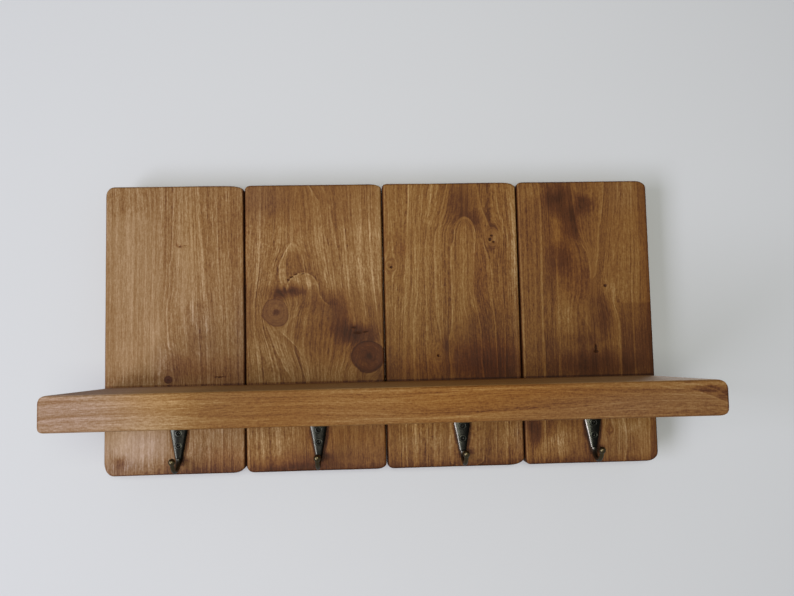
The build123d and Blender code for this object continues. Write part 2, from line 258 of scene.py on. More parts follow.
BOARD_STAINS = [
    {
        "pale": ovals((30, 33, 44, 20, 0.65), (49.5, 147, 12, 18, 0.2), (85, 205, 14, 60, 0.3)),
        "rose": ovals((98, 142, 16, 34, 0.5), (40, 14, 70, 24, 0.9), (50, 40, 20, 10, 0.3),
            (142, 140, 10, 60, 0.7), (18, 5, 26, 10, 0.9), (66, 112, 16, 20, 0.6)),
        "plum": ovals((18, 12, 9, 8, 0.5), (78, 110, 18, 16, 0.35), (17, 15, 8, 9, 0.6)),
        "deep": ovals((65, 245, 5, 60, 0.18), (24, 285, 34, 22, 0.25), (134, 255, 16, 42, 0.28),
            (88, 142, 5, 30, 0.4), (100, 136, 22, 12, 0.25), (100, 4, 60, 11, 0.5),
            (40, 97, 36, 6, 0.3), (76, 235.5, 3.2, 1.8, 0.3), (82, 236.5, 3, 1.6, 0.25)),
        "honey": ovals((128, 235, 22, 90, 0.5), (92, 250, 20, 60, 0.6)),
        "red": ovals((84, 108, 30, 18, 0.6), (125, 102, 34, 22, 0.7), (75, 235.5, 4.5, 2.6, 0.4),
            (120, 16, 30, 14, 0.6)),
    },
    {
        "rose": ovals((14, 288, 34, 26, 0.9), (72, 14, 80, 18, 0.3), (10, 240, 14, 70, 0.3)),
        "pale": ovals((14, 174, 12, 16, 0.15), (63, 196, 13, 8, 0.6), (86, 196, 6, 12, 0.4),
            (120, 194, 24, 26, 0.45), (24, 125, 32, 18, 0.35), (28, 34, 32, 22, 0.45),
            (88, 105, 40, 14, 0.4), (60, 158, 14, 10, 0.4)),
        "deep": ovals((52.5, 217, 14, 16, 0.5), (141, 99, 7, 14, 0.5), (92, 163, 16, 20, 0.35),
            (116, 188, 12, 22, 0.2), (22, 283, 40, 24, 0.4)),
        "red": ovals((54, 254, 3, 10, 0.6), (73, 175, 7, 8, 0.5), (100, 165, 12, 26, 0.6),
            (60, 12, 60, 9, 0.8)),
        "plum": ovals((39, 186, 18, 6.5, 0.9), (54, 190, 13, 7, 0.6), (104, 142, 15, 16, 0.6),
            (120, 141, 17, 10, 0.7), (42, 5, 44, 5, 0.5)),
        "amber": ovals((98, 128, 46, 44, 0.5), (92, 38, 56, 18, 0.6)),
    },
    {
        "pale": ovals((7, 165, 9, 60, 0.25), (120, 240, 5, 8, 0.4), (139, 220, 6, 48, 0.5)),
        "russet": ovals((112, 108, 34, 30, 0.9), (60, 99, 70, 14, 0.7)),
        "deep": ovals((36, 243, 36, 10, 0.25), (108, 152, 28, 18, 0.22), (126.5, 222, 4.5, 20, 0.35),
            (84, 276, 22, 26, 0.5), (112, 266, 4, 10, 0.2), (113, 228, 5, 4, 0.5),
            (109, 26, 5, 26, 0.35)),
        "plum": ovals((100, 257, 8, 12, 0.5), (88, 118, 18, 36, 0.5), (122, 108, 24, 30, 0.5),
            (65, 128, 6, 10, 0.5)),
        "red": ovals((20, 228, 8, 9, 0.6), (104, 190, 8, 50, 0.7), (126, 180, 14, 45, 0.3)),
        "amber": ovals((92, 108, 60, 26, 0.8), (24, 112, 30, 40, 0.3), (30, 46, 50, 12, 0.4)),
        "rose": ovals((141, 170, 8, 120, 0.7), (140, 26, 10, 18, 0.9), (72, 14, 80, 22, 0.8)),
    },
    {
        "plum": ovals((41, 283, 17, 15, 0.9), (72, 275, 12, 10, 0.7), (58, 250, 12, 18, 0.5),
            (47, 214, 14, 17, 0.6), (90, 158, 14, 30, 0.5), (125, 124, 26, 38, 0.4),
            (80, 103, 44, 18, 0.7), (10, 60, 14, 24, 0.6), (9, 33, 9, 16, 0.55)),
        "pale": ovals((43, 244, 5, 17, 0.4), (29, 160, 5, 26, 0.45), (101, 178, 5, 20, 0.5),
            (4, 128, 8, 28, 0.2), (36, 27, 18, 16, 0.7), (24, 14, 24, 14, 0.6),
            (18, 286, 24, 15, 0.3), (112, 37, 16, 9, 0.5), (46, 155, 13, 26, 0.6),
            (90, 186, 7, 8, 0.35)),
        "deep": ovals((56, 266, 18, 9, 0.4), (70, 129, 22, 6, 0.3), (84, 146, 12, 22, 0.2)),
        "red": ovals((66, 190, 16, 20, 0.6), (29, 37, 5, 12, 0.4)),
        "amber": ovals((50, 234, 20, 60, 0.5), (140, 170, 9, 190, 0.3), (56, 103, 60, 14, 0.45)),
        "rose": ovals((112, 284, 20, 20, 0.5), (90, 15, 70, 22, 0.9)),
    },
]

BOARD_NICKS = [
    ovals((117.5, 98.8, 7.5, 0.9, 0.5), (77.1, 235.3, 2.4, 1.2, 0.4), (82.6, 236.6, 2.6, 0.9, 0.3)),
    ovals((45, 198.4, 1.8, 0.8, 0.6), (49, 201.4, 2.6, 0.9, 0.9), (53.2, 204, 2.2, 0.7, 0.8),
        (60.5, 204.7, 3.4, 0.7, 0.8), (117, 141.6, 5, 1.2, 0.6), (125, 142.4, 3.6, 1.1, 0.5),
        (113, 147.2, 3, 1.2, 0.5), (52, 273, 1.1, 1.3, 0.3)),
    ovals((8, 210, 2, 1.4, 1), (115.8, 242.2, 1.9, 1.6, 1), (114.1, 237.9, 2.4, 1.9, 0.9),
        (117.8, 235.2, 2, 1.5, 0.8), (55.5, 116, 1.8, 1.3, 0.9)),
    ovals((92, 186.5, 2.3, 2.4, 0.8), (79.2, 120.4, 1.5, 4.8, 1.7), (79.3, 116.4, 2.8, 1.5, 1.7)),
]

BOARD_PATCHES = [[], [], [], [Patch(109, 150, 80, 166, -0.11)]]

# Broad tone of each board, from dark (0) to pale (1), its tint, the noise seed of its grain,
# how strong its broad bands are, and how its tone drifts up the board and across it.
BOARD_TONES = [0.72, 0.52, 0.48, 0.46]
BOARD_TINTS = [(1.0, 1.0, 1.10), (1.0, 0.95, 0.86), (1.0, 0.94, 0.76), (1.0, 0.95, 0.80)]
BOARD_SEEDS = [3.1, 17.7, 29.3, 41.9]
BOARD_BANDS = [0.5, 1.0, 1.0, 1.0]
BOARD_DRIFTS_UP = [
    [(0, -0.12), (12, -0.05), (22, 0.02), (45, 0.04), (97, -0.05), (112, 0.0), (200, 0.02),
        (300, -0.03)],
    [(0, -0.16), (18, -0.03), (42, 0.04), (110, 0.05), (150, 0.0), (178, 0.02), (203, 0.17),
        (235, 0.19), (262, 0.08), (300, -0.05)],
    [(0, -0.08), (18, 0.11), (36, 0.21), (60, 0.12), (97, -0.02), (130, 0.08), (200, 0.16),
        (270, 0.12), (300, 0.07)],
    [(0, -0.08), (18, -0.01), (40, 0.05), (97, -0.04), (150, 0.01), (200, 0.0), (265, -0.04),
        (300, 0.0)],
]
BOARD_DRIFTS_ACROSS = [
    [(0, 0.09), (36, 0.14), (60, 0.06), (80, 0.0), (144, -0.02)],
    [(0, 0.09), (30, 0.07), (55, 0.0), (78, -0.05), (144, -0.02)],
    [(0, -0.10), (18, 0.02), (36, 0.06), (54, 0.05), (78, -0.06), (102, -0.02), (144, 0.05)],
    [(0, 0.06), (18, 0.0), (66, -0.05), (100, 0.02), (128, 0.0), (136, -0.14), (144, -0.28)],
]

# Each board's corners, worn by hand: (reach across, reach up) at the bottom left, bottom
# right, top left and top right.
BOARD_CORNERS = [
    ((10, 14), (13, 8), (9, 10), (18, 5)),
    ((8, 8), (10, 6), (6, 4.5), (14, 5)),
    ((7, 5), (16, 8), (5, 4), (14, 6)),
    ((5, 6), (13, 10), (6, 5), (12, 8)),
]

SHELF_LINES = [
    GrowthLine(1, 0.5, None, [(0, 9), (90, 12), (170, 8), (240, 11), (330, 7), (430, 9), (520, 14),
        (576, 12)]),
    GrowthLine(1, 0.45, None, [(0, 22), (110, 24), (200, 19), (300, 22), (390, 25), (480, 21),
        (576, 19)]),
    GrowthLine(1, 0.6, (300, 480), [(250, 2), (330, 5), (400, 9), (450, 13), (520, 15), (576, 16)]),
    GrowthLine(1, 0.6, (310, 430), [(300, 24), (360, 27), (400, 28), (440, 27), (520, 29)]),
    GrowthLine(1, 0.9, (520, 600), [(480, 29), (520, 26), (545, 22), (560, 17), (570, 12.5),
        (576, 10)]),
    GrowthLine(1, 0.8, (528, 600), [(510, 30), (540, 28), (558, 24.5), (570, 19), (576, 15)]),
]
# Growth lines of the shelf's top and underside: (along the shelf, back from its front edge).
SHELF_TOP_LINES = [
    GrowthLine(1, 0.8, None, [(0, 30), (150, 24), (330, 33), (470, 27), (576, 35)]),
    GrowthLine(1, 0.9, None, [(0, 62), (120, 70), (260, 60), (420, 66), (576, 58)]),
    GrowthLine(-1, 0.9, None, [(0, 96), (190, 90), (350, 99), (480, 92), (576, 97)]),
    GrowthLine(-1, 0.7, None, [(0, 128), (160, 134), (300, 126), (440, 131), (576, 125)]),
]
SHELF_GUIDES = [
    (9, [(0, 7), (170, 11), (330, 8), (430, 9), (520, 12), (576, 8)]),
    (22, [(0, 20), (200, 23), (300, 21), (390, 24), (480, 22), (576, 17)]),
]
SHELF_STAINS = {
    "grey": ovals((14, 20, 30, 80, 0.8)),
    "rose": ovals((14, 15, 30, 60, 0.4), (8, 260, 16, 60, 0.4), (8, 450, 14, 60, 0.5),
        (10, 530, 16, 70, 0.8)),
    "amber": ovals((22, 360, 20, 100, 0.8), (26, 95, 16, 40, 0.5), (14, 215, 26, 60, 0.5),
        (27, 440, 8, 100, 0.3), (14, 300, 24, 70, 0.3)),
    "deep": ovals((14, 562, 9, 14, 0.12)),
    "plum": ovals((23.5, 558, 3.5, 12, 0.5), (17, 571, 3.5, 6, 0.5)),
    "red": ovals((26, 16, 3, 14, 0.3)),
}
SHELF_SEED = 53.3
SHELF_TONE = 0.56
SHELF_DRIFT = [
    (0, 0.22), (80, 0.23), (106, 0.18), (130, 0.01), (160, -0.07), (205, -0.08), (240, -0.02),
    (320, 0.0), (390, -0.05), (440, -0.07), (500, -0.08), (545, -0.05), (576, -0.06),
]


class Box:
    """A node's box in millimetres."""

    def __init__(self, node):
        low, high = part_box(node)
        self.left, self.front, self.bottom = [value / MM for value in low]
        self.right, self.back, self.top = [value / MM for value in high]
        self.width = self.right - self.left
        self.depth = self.back - self.front
        self.height = self.top - self.bottom
        self.middle_x = (self.left + self.right) / 2
        self.middle_z = (self.bottom + self.top) / 2


class Value:
    """A number that varies over a surface. Arithmetic on it adds nodes to its finish."""

    def __init__(self, finish, socket):
        self.finish = finish
        self.socket = socket

    def __add__(self, other):
        return self.finish.math("ADD", self, other)

    __radd__ = __add__

    def __sub__(self, other):
        return self.finish.math("SUBTRACT", self, other)

    def __rsub__(self, other):
        return self.finish.math("SUBTRACT", other, self)

    def __mul__(self, other):
        return self.finish.math("MULTIPLY", self, other)

    __rmul__ = __mul__

    def __abs__(self):
        return self.finish.math("ABSOLUTE", self)


class Finish:
    """A material under construction, with short calls that add its nodes."""

    def __init__(self, name):
        self.material = bpy.data.materials.new(name)
        self.material.use_nodes = True
        self.tree = self.material.node_tree
        self.tree.nodes.clear()

    def node(self, kind, inputs=(), output=0, **settings):
        """Add a node, feed its inputs by name or number, and hand back one output."""
        made = self.tree.nodes.new("ShaderNode" + kind)
        for name, value in settings.items():
            setattr(made, name, value)
        for key, value in dict(inputs).items():
            if isinstance(value, Value):
                self.tree.links.new(value.socket, made.inputs[key])
            else:
                made.inputs[key].default_value = value
        return Value(self, made.outputs[output])

    def math(self, operation, *values, clamp=False):
        return self.node("Math", enumerate(values), operation=operation, use_clamp=clamp)

    def lesser(self, a, b):
        return self.math("MINIMUM", a, b)

    def greater(self, a, b):
        return self.math("MAXIMUM", a, b)

    def smooth(self, value, low, high):
        """0 up to low and 1 from high, with a soft step between them."""
        inputs = {"Value": value, "From Min": low, "From Max": high}
        return self.node("MapRange", inputs, interpolation_type="SMOOTHSTEP")

    def within(self, value, low, high, soft):
        """1 between low and high, fading out over soft beyond them."""
        return self.smooth(value, low - soft, low) * self.smooth(value, high + soft, high)

    def place(self):
        """Place on the object, in millimetres."""
        raw = self.node("TexCoord", output=3)
        return self.node("VectorMath", {0: raw, 3: 1 / MM}, operation="SCALE")

    def split(self, vector):
        """The three numbers of a vector."""
        apart = self.node("SeparateXYZ", {0: vector}).socket.node
        return [Value(self, output) for output in apart.outputs]

    def facing(self):
        """Which way the surface faces, as three numbers."""
        return self.split(self.node("NewGeometry", output=1))

    def vector(self, x, y, z):
        return self.node("CombineXYZ", enumerate((x, y, z)))

    def noise(self, vector, scale=1.0, detail=2.0, roughness=0.5):
        inputs = {"Vector": vector, "Scale": scale, "Detail": detail, "Roughness": roughness}
        return self.node("TexNoise", inputs)

    def centred(self, vector, gain, detail=2.0, roughness=0.5):
        """Noise from about -gain/4 to gain/4 round zero."""
        spread = self.noise(vector, detail=detail, roughness=roughness)
        return self.math("MULTIPLY_ADD", spread, gain, -0.5 * gain)

    def clouds(self, across, along, cloud, seed=0.0):
        """Centred noise laid over a face."""
        spot = self.vector(across * cloud.across, seed, along * cloud.along)
        return self.centred(spot, cloud.gain, cloud.detail, cloud.roughness)

    def curve(self, value, points, low=0.0, high=1.0):
        """A smooth curve through given points. The points are (value, result), value from low to high.
        """
        results = [result for _, result in points]
        base = min(results)
        span = max(max(results) - base, 1e-6)
        share = self.math("MULTIPLY_ADD", value, 1 / (high - low), -low / (high - low))
        drawn = self.node("FloatCurve", {"Value": share})
        shape = drawn.socket.node.mapping
        spots = [((v - low) / (high - low), (r - base) / span) for v, r in sorted(points)]
        if spots[0][0] > 0:
            spots.insert(0, (0.0, spots[0][1]))
        line = shape.curves[0]
        line.points[0].location = spots[0]
        line.points[1].location = spots[-1]
        for spot in spots[1:-1]:
            line.points.new(*spot)
        shape.update()
        return self.math("MULTIPLY_ADD", drawn, span, base)

    def ramp(self, value, stops):
        """A run of colours. The stops are (place, colour)."""
        made = self.node("ValToRGB", {0: value})
        elements = made.socket.node.color_ramp.elements
        elements[0].position, elements[0].color = stops[0][0], rgba(stops[0][1])
        elements[1].position, elements[1].color = stops[-1][0], rgba(stops[-1][1])
        for position, colour in stops[1:-1]:
            elements.new(position).color = rgba(colour)
        return made

    def mix(self, share, a, b, blend="MIX"):
        """Mix two colours. A plain colour is a tuple."""
        a = rgba(a) if isinstance(a, tuple) else a
        b = rgba(b) if isinstance(b, tuple) else b
        return self.node("MixRGB", enumerate((share, a, b)), blend_type=blend)

    def tint(self, share, colour, tint):
        """Multiply a colour by a plain one."""
        return self.mix(share, colour, tint, "MULTIPLY")

    def bump(self, height, distance, strength=0.5):
        inputs = {"Height": height, "Distance": distance, "Strength": strength}
        return self.node("Bump", inputs)

    def surface(self, colour, roughness, normal, metallic=0.0, gloss=0.5):
        """End the finish in one Principled shader."""
        inputs = {
            "Base Color": colour,
            "Roughness": roughness,
            "Normal": normal,
            "Metallic": metallic,
            "Specular IOR Level": gloss,
        }
        return self.end(self.node("BsdfPrincipled", inputs))

    def end(self, shader):
        """End the finish in a shader, and hand back the material."""
        last = self.tree.nodes.new("ShaderNodeOutputMaterial")
        self.tree.links.new(shader.socket, last.inputs["Surface"])
        return self.material


def linear(level):
    """One sRGB channel as a linear one."""
    return level / 12.92 if level <= 0.04045 else ((level + 0.055) / 1.055) ** 2.4


def rgba(colour):
    """A colour as nodes want it, with its alpha."""
    return tuple(colour)[:3] + (1.0,)


def shade(red, green, blue):
    """An sRGB colour of 0 to 255 as a linear one."""
    return tuple(linear(channel / 255) for channel in (red, green, blue))


# The stained pine's colours, from where the stain took most to where it took least.
PINE_STOPS = [
    (0.00, shade(60, 34, 18)),
    (0.25, shade(89, 53, 30)),
    (0.50, shade(124, 85, 45)),
    (0.65, shade(137, 101, 58)),
    (0.80, shade(151, 118, 77)),
    (1.00, shade(173, 142, 103)),
    (1.25, shade(198, 170, 134)),
]
PINE_TOP = PINE_STOPS[-1][0]

# How the tone runs across a growth line: (millimetres, tone), with its dark side at plus.
LINE_SPAN = 20.0
LINE_PROFILE = [
    (-20, 0.0), (-9, 0.08), (-3.5, 0.22), (-1.4, 0.42), (-0.5, 1.0),
    (0.2, 0.70), (0.9, -0.55), (3.5, -0.36), (9, -0.12), (20, 0.0),
]
LINE_END_FADE = 3.5
ARCH_FOOT_FADE = (-1.0, 2.5)
BOARD_LINE_SHARE = 0.19
SHELF_LINE_SHARE = 0.14

# The same for the faint rings between the growth lines: (share of the spacing, tone).
RING_PROFILE = [(0.0, -0.6), (0.25, -0.25), (0.65, 0.1), (0.88, 1.0), (1.0, -0.5)]
RING_SPACING = 5.5

# Noise laid over a face: how many clouds it has to a millimetre across and along the grain,
# how far it sways what it is added to, and how fine its detail is.
Cloud = namedtuple("Cloud", "across along gain detail roughness", defaults=(2.0, 0.5))
LINE_STRENGTH_CLOUD = Cloud(0.09, 0.07, 1.5, 4.0, 0.65)
LINE_PLACE_CLOUD = Cloud(0.03, 0.08, 1.4, 1.0)
STAIN_PLACE_CLOUD = Cloud(0.05, 0.05, 1.0, 3.0)
NICK_PLACE_CLOUD = Cloud(0.4, 0.4, 3.0, 1.0)
EDGE_CLOUD = Cloud(0.12, 0.2, 2.0)
KNOT_OUTLINE_CLOUD = Cloud(0.035, 0.035, 0.55, 1.0)
KNOT_RIPPLE_CLOUD = Cloud(0.3, 0.3, 0.10)
KNOT_MOTTLE_CLOUD = Cloud(0.3, 0.3, 0.22, 3.0, 0.7)
LINE_PLACE_SEED = 7.0
EDGE_SEED = 3.0

# The strands of the plain grain: how wide each is and how far it runs along the grain, in
# millimetres, how strong it is, and how fine its detail is.
Strand = namedtuple("Strand", "width run gain detail roughness", defaults=(2.0, 0.5))
RING_DRIFT = Strand(26, 90, 7.0, 1.0)
RING_STRENGTH = Strand(16, 140, 0.26, 1.0)
BANDS = Strand(9, 400, 0.24)
STREAKS = Strand(2.6, 420, 0.42, 2.0, 0.62)
FINE_LINES = Strand(1.25, 130, 0.41, 2.0, 0.62)
FIBRES = Strand(1.05, 26, 0.36, 2.0, 0.65)
FLECKS = Strand(0.85, 5.0, 0.42, 1.0)
MOTTLE = Strand(1.5, 1.8, 0.36, 2.0, 0.7)

# How strong the fine grain is on stained pine of each tone. Board 1 and the shelf were sanded
# finer, so their palest parts show less grain.
TONE_TOP = 1.2
GRAIN_STRENGTHS = [(0.0, 0.6), (0.3, 0.8), (0.5, 1.2), (0.65, 1.5), (0.8, 1.9), (1.2, 1.9)]
SANDED_STRENGTHS = [(0.0, 0.7), (0.4, 1.0), (0.55, 1.3), (0.72, 1.5), (0.84, 0.95), (1.2, 0.85)]

# The shelf's broad bands and fine grain beside a board's, and how many times shorter its
# grain runs.
SHELF_BANDS = 0.7
SHELF_GRAIN = 0.85
SHELF_GRAIN_PACE = 1.3

# How far the noise moves the stains across and along the grain, in millimetres, how much the
# streaks fray them, and how much less a nick moves across the grain than along it.
STAIN_SWAY = (16.0, -20.0)
STAIN_FRAY = 12.0
NICK_SWAY = 0.3

# How the grain parts round a knot: by how much, and over how large an oval.
PART_PUSH = 0.8
PART_ROUND = 0.35
PART_STRETCH = 1.5

# Shares of a knot's reach: where its cover fades out, where its rim is and how wide, and where
# its pith fades out. Then how strong its rings, fibres, rim and pith are.
KNOT_FADE = (1.08, 0.92)
RIM_PLACE = 0.98
RIM_WIDTH = 0.07
PITH_FADE = (0.30, 0.12)
KNOT_RINGS = 0.64
KNOT_RING_RUN = 0.02
KNOT_FIBRES = 0.6
RIM_DARKENING = 0.18
PITH_DARKENING = 0.26

# How the tone darkens near an edge: how far off it begins to show, how near it is full,
# and how much it changes the tone. On the shelf and at a board's foot and outer sides it is
# stain taken up at the edges, at a board's ends it is stain and painted shade on the arris,
# and at the seams between boards it is painted shade.
EdgeDarkening = namedtuple("EdgeDarkening", "begins full amount")
BOARD_END_STAIN_AND_SHADE = EdgeDarkening(2.2, 0.3, 0.30)
BOARD_FOOT = EdgeDarkening(9.0, 1.0, 0.13)
FOOT_RAGGED = 5.0
BOARD_SIDE = EdgeDarkening(2.0, 0.3, 0.26)
BOARD_SEAM_SHADE = EdgeDarkening(1.7, 0.7, 0.40)
SHELF_EDGE = EdgeDarkening(2.6, 0.3, 0.12)
SHELF_END = EdgeDarkening(3.0, 0.3, 0.14)

# Where stains and nicks begin to show and where they are full, in shares of their ovals, and
# how far back a board's face fades out, in millimetres.
STAIN_FADE = (1.45, 0.1)
SHELF_STAIN_FADE = (1.4, 0.15)
NICK_FADE = (1.0, 0.3)
FACE_FADE = (5.0, 2.5)

# Bands along an edge: from where to where they run, how softly they fade out beyond, and how
# much they change the tone. Then how softly a patch fades out across and along the grain.
Band = namedtuple("Band", "low high fade amount")
# A paler band just inside the arris beside another board.
SEAM_PALE_BAND = Band(1.8, 2.8, 0.8, 0.05)
# Painted shade: a dark line on the boards where they meet the shelf's top.
SHELF_JOINT_SHADE = Band(-4.0, 1.2, 1.2, 0.28)
# Painted highlight along the shelf's top arris.
SHELF_TOP_ARRIS_HIGHLIGHT = Band(27.0, 29.5, 1.5, 0.11)
PATCH_FADE = (2.0, 3.0)

# Painted shadow of a hook on the board: the half widths of its plate by how far they lie below the
# hook's top, how far down the shadow reaches, and how far it lies to the right.
PLATE_SHADOW = EdgeDarkening(2.6, 0.2, 0.34)
PLATE_SHADOW_WIDTHS = [(-10, 0.0), (0, 6.5), (8.8, 8.8), (43, 3.1)]
PLATE_SHADOW_TAIL_WIDTH = 1.0
PLATE_SHADOW_REACH = 46.0
PLATE_SHADOW_FADE = 2.0
PLATE_SHADOW_SHIFT = 0.7
# Painted shadow of the hook's arm, to the right of the plate's tail.
ARM_SHADOW = Oval(7.5, -41, 7.0, 4.5, 1.0)
ARM_SHADOW_EDGE = EdgeDarkening(1.2, 0.1, 0.28)

# The shelf's top is painted paler than its front, as painted light: by how much at its left end,
# how much more at its right end, and how much less at the back. Its flat faces have growth lines of
# their own.
TOP_PAINTED_LIGHT = 0.28
TOP_PAINTED_LIGHT_RIGHT = (300.0, 576.0, 0.13)
TOP_PAINTED_LIGHT_BACK = (120.0, 164.0, 0.34)
TOP_TINT = (1.0, 0.92, 0.88)
FLAT_FACE_FADE = (0.8, 0.1)

# How much slower the wood's fine relief changes along the grain than across it, its depth in
# metres, and how rough and glossy the wax over it is.
RELIEF_RUN = 0.06
WOOD_RELIEF = 0.0004
WAX_ROUGHNESS = 0.42
SHELF_ROUGHNESS = 0.50
ROUGHNESS_SPREAD = 0.2
BOARD_GLOSS = 0.12
SHELF_GLOSS = 0.08


def pine_colour(finish, tone):
    """Colour of the stained pine at a tone."""
    stops = [(place / PINE_TOP, colour) for place, colour in PINE_STOPS]
    return finish.ramp(tone * (1 / PINE_TOP), stops)


def oval(finish, across, along, shape, stretch=1.0):
    """Distance from an oval's middle, 1 at its rim."""
    inputs = {
        0: finish.vector(across, 0.0, along),
        1: (shape.across, 0.0, shape.height),
    }
    offset = finish.node("VectorMath", inputs, operation="SUBTRACT")
    size = {0: offset, 1: (1 / shape.half_width, 0.0, 1 / (shape.half_height * stretch))}
    scaled = finish.node("VectorMath", size, operation="MULTIPLY")
    return finish.node("VectorMath", {0: scaled}, output=1, operation="LENGTH")


def edge_darkening(finish, distance, stain):
    """How much the tone changes at a distance from an edge."""
    return finish.smooth(distance, stain.begins, stain.full) * stain.amount


def band_tone(finish, place, band):
    """How much the tone changes within a band."""
    return finish.within(place, band.low, band.high, band.fade) * band.amount


def growth_tone(finish, along, across, lines, length, arches=()):
    """Tone that the growth lines and arches add."""
    waver = finish.clouds(across, along, LINE_STRENGTH_CLOUD) + 1.0
    near = across + finish.clouds(across, along, LINE_PLACE_CLOUD, LINE_PLACE_SEED)
    total = 0.0
    for line in lines:
        side = (near - finish.curve(along, line.points, 0, length)) * line.dark
        tone = finish.curve(side, LINE_PROFILE, -LINE_SPAN, LINE_SPAN) * line.strength
        if line.ends:
            tone = tone * finish.within(along, *line.ends, LINE_END_FADE)
        total = total + tone
    for arch in arches:
        side = (oval(finish, near, along, arch) - 1.0) * arch.half_width
        tone = finish.curve(side, LINE_PROFILE, -LINE_SPAN, LINE_SPAN) * arch.strength
        low, high = (arch.height + fade for fade in ARCH_FOOT_FADE)
        total = total + tone * finish.smooth(along, low, high)
    return total * waver


def straighten(finish, along, across, guides, width, length):
    """Place across the grain once the grain is pulled straight between its guides."""
    total = 0.0
    before, level_before = 0.0, 0.0
    for level, points in [*guides, (width, None)]:
        edge = finish.curve(along, points, 0, length) if points else width
        share = finish.math("DIVIDE", across - before, edge - before, clamp=True)
        total = total + share * (level - level_before)
        before, level_before = edge, level
    return total


def part_round(finish, straight, along, across, knots):
    """Let the grain part round each knot and close again beyond it."""
    for knot in knots:
        reach = oval(finish, across, along, knot, PART_STRETCH)
        push = finish.math("DIVIDE", PART_PUSH, reach * reach + PART_ROUND)
        straight = straight - (across - knot.across) * push
    return straight


def grain_tone(finish, straight, deep, along, seed):
    """Tone of the plain grain: its broad bands, its streaks, its fibres and all that is fine."""
    def strand(kind):
        across = 1 / kind.width
        spot = finish.vector(straight * across + seed, deep * across, along * (1 / kind.run))
        return finish.centred(spot, kind.gain, kind.detail, kind.roughness)

    turn = finish.math("FRACT", (straight + strand(RING_DRIFT)) * (1 / RING_SPACING))
    rings = finish.curve(turn, RING_PROFILE) * strand(RING_STRENGTH)
    streaks = strand(STREAKS)
    fibres = strand(FIBRES) + strand(MOTTLE)
    fine = streaks + strand(FINE_LINES) + fibres + strand(FLECKS)
    return rings + strand(BANDS), streaks, fibres, fine


def knot_tone(finish, tone, along, across, knots, seed, fibres):
    """Cover the tone with each knot: fine rings, a thin dark rim and a small pith."""
    shares = []
    for number, knot in enumerate(knots):
        outline = finish.clouds(across, along, KNOT_OUTLINE_CLOUD, seed + number) + 1.0
        ripple = finish.clouds(across, along, KNOT_RIPPLE_CLOUD, seed - number)
        reach = oval(finish, across, along, knot) * outline + ripple
        ring_spot = finish.vector(reach * knot.rings, seed + number, along * KNOT_RING_RUN)
        rings = finish.centred(ring_spot, KNOT_RINGS, 3.0, 0.6)
        rings = rings + finish.clouds(across, along, KNOT_MOTTLE_CLOUD, seed - number)
        pith = finish.smooth(reach, *PITH_FADE) * PITH_DARKENING
        rim = finish.smooth(abs(reach - RIM_PLACE), RIM_WIDTH, 0.0) * RIM_DARKENING * knot.cover
        covered = rings + (fibres * KNOT_FIBRES + knot.tone - pith)
        share = finish.smooth(reach, *KNOT_FADE) * knot.cover
        tone = finish.node("Mix", {0: share, 2: tone, 3: covered}) - rim
        shares.append(share)
    return tone, shares


def stain_shares(finish, across, along, stains, fade):
    """How far each stain covers the wood, as (its kind, share)."""
    shares = []
    for name, group in stains.items():
        for stain in group:
            cover = finish.smooth(oval(finish, across, along, stain), *fade)
            shares.append((STAIN_KINDS[name], cover * stain.strength))
    return shares


def stain_tone(tone, shares):
    """Let stains lighten or darken a tone."""
    for kind, share in shares:
        if kind.lift:
            tone = tone + share * kind.lift
    return tone


def stain_colour(finish, colour, shares):
    """Let stains tint a colour."""
    for kind, share in shares:
        if kind.tint != WHITE:
            colour = finish.tint(share, colour, kind.tint)
    return colour


def edge_tone(finish, index, across, along, box, on_face):
    """Edge tone: stain at the foot and outer sides, stain and painted shade at the ends, painted shade
    at the seams and above the shelf, and a little paler just inside a seam's arris.
    """
    ragged = finish.clouds(across, along, EDGE_CLOUD, EDGE_SEED) * FOOT_RAGGED
    dark = edge_darkening(finish, along + ragged, BOARD_FOOT)
    # The ends: stain, and painted shade on their arrises.
    dark = dark + edge_darkening(finish, finish.lesser(along, box.height - along), BOARD_END_STAIN_AND_SHADE)
    joint = Box("shelf_board").top - box.bottom
    # Painted shade: a dark line just above the shelf's top.
    dark = dark + band_tone(finish, along - joint, SHELF_JOINT_SHADE) * on_face
    sides = [across, box.width - across]
    if index == 0:
        dark = dark + edge_darkening(finish, sides.pop(0), BOARD_SIDE)
    if index == BOARD_COUNT - 1:
        dark = dark + edge_darkening(finish, sides.pop(), BOARD_SIDE)
    seam = finish.lesser(sides[0], sides[-1])
    # Painted shade: the arris beside a seam is darkened like the shade in the gap.
    dark = dark + edge_darkening(finish, seam, BOARD_SEAM_SHADE)
    return band_tone(finish, seam, SEAM_PALE_BAND) - dark


def hook_painted_shadow(finish, index, across, along, box):
    """How much painted shadow darkens the wood round the hook's plate and below its tail."""
    hook = Box("hook_" + str(index + 1))
    middle = hook.middle_x - box.left
    top = hook.top - box.bottom
    widths = [(0, PLATE_SHADOW_TAIL_WIDTH)] + [(top - drop, half) for drop, half in PLATE_SHADOW_WIDTHS]
    half = finish.curve(along, widths, 0.0, top - PLATE_SHADOW_WIDTHS[0][0])
    beyond = abs(across - (middle + PLATE_SHADOW_SHIFT)) - half
    plate_shadow = edge_darkening(finish, beyond, PLATE_SHADOW)
    plate_shadow = plate_shadow * finish.within(along, top - PLATE_SHADOW_REACH, top, PLATE_SHADOW_FADE)
    arm_shadow = ARM_SHADOW._replace(across=middle + ARM_SHADOW.across, height=top + ARM_SHADOW.height)
    return plate_shadow + edge_darkening(finish, oval(finish, across, along, arm_shadow), ARM_SHADOW_EDGE)


def wax(finish, colour, relief_spot, roughness, gloss):
    """End a stained pine finish in its wax, with a fine relief along the grain."""
    relief = finish.noise(relief_spot, detail=3.0)
    normal = finish.bump(relief, WOOD_RELIEF)
    return finish.surface(colour, relief * ROUGHNESS_SPREAD + roughness, normal, gloss=gloss)


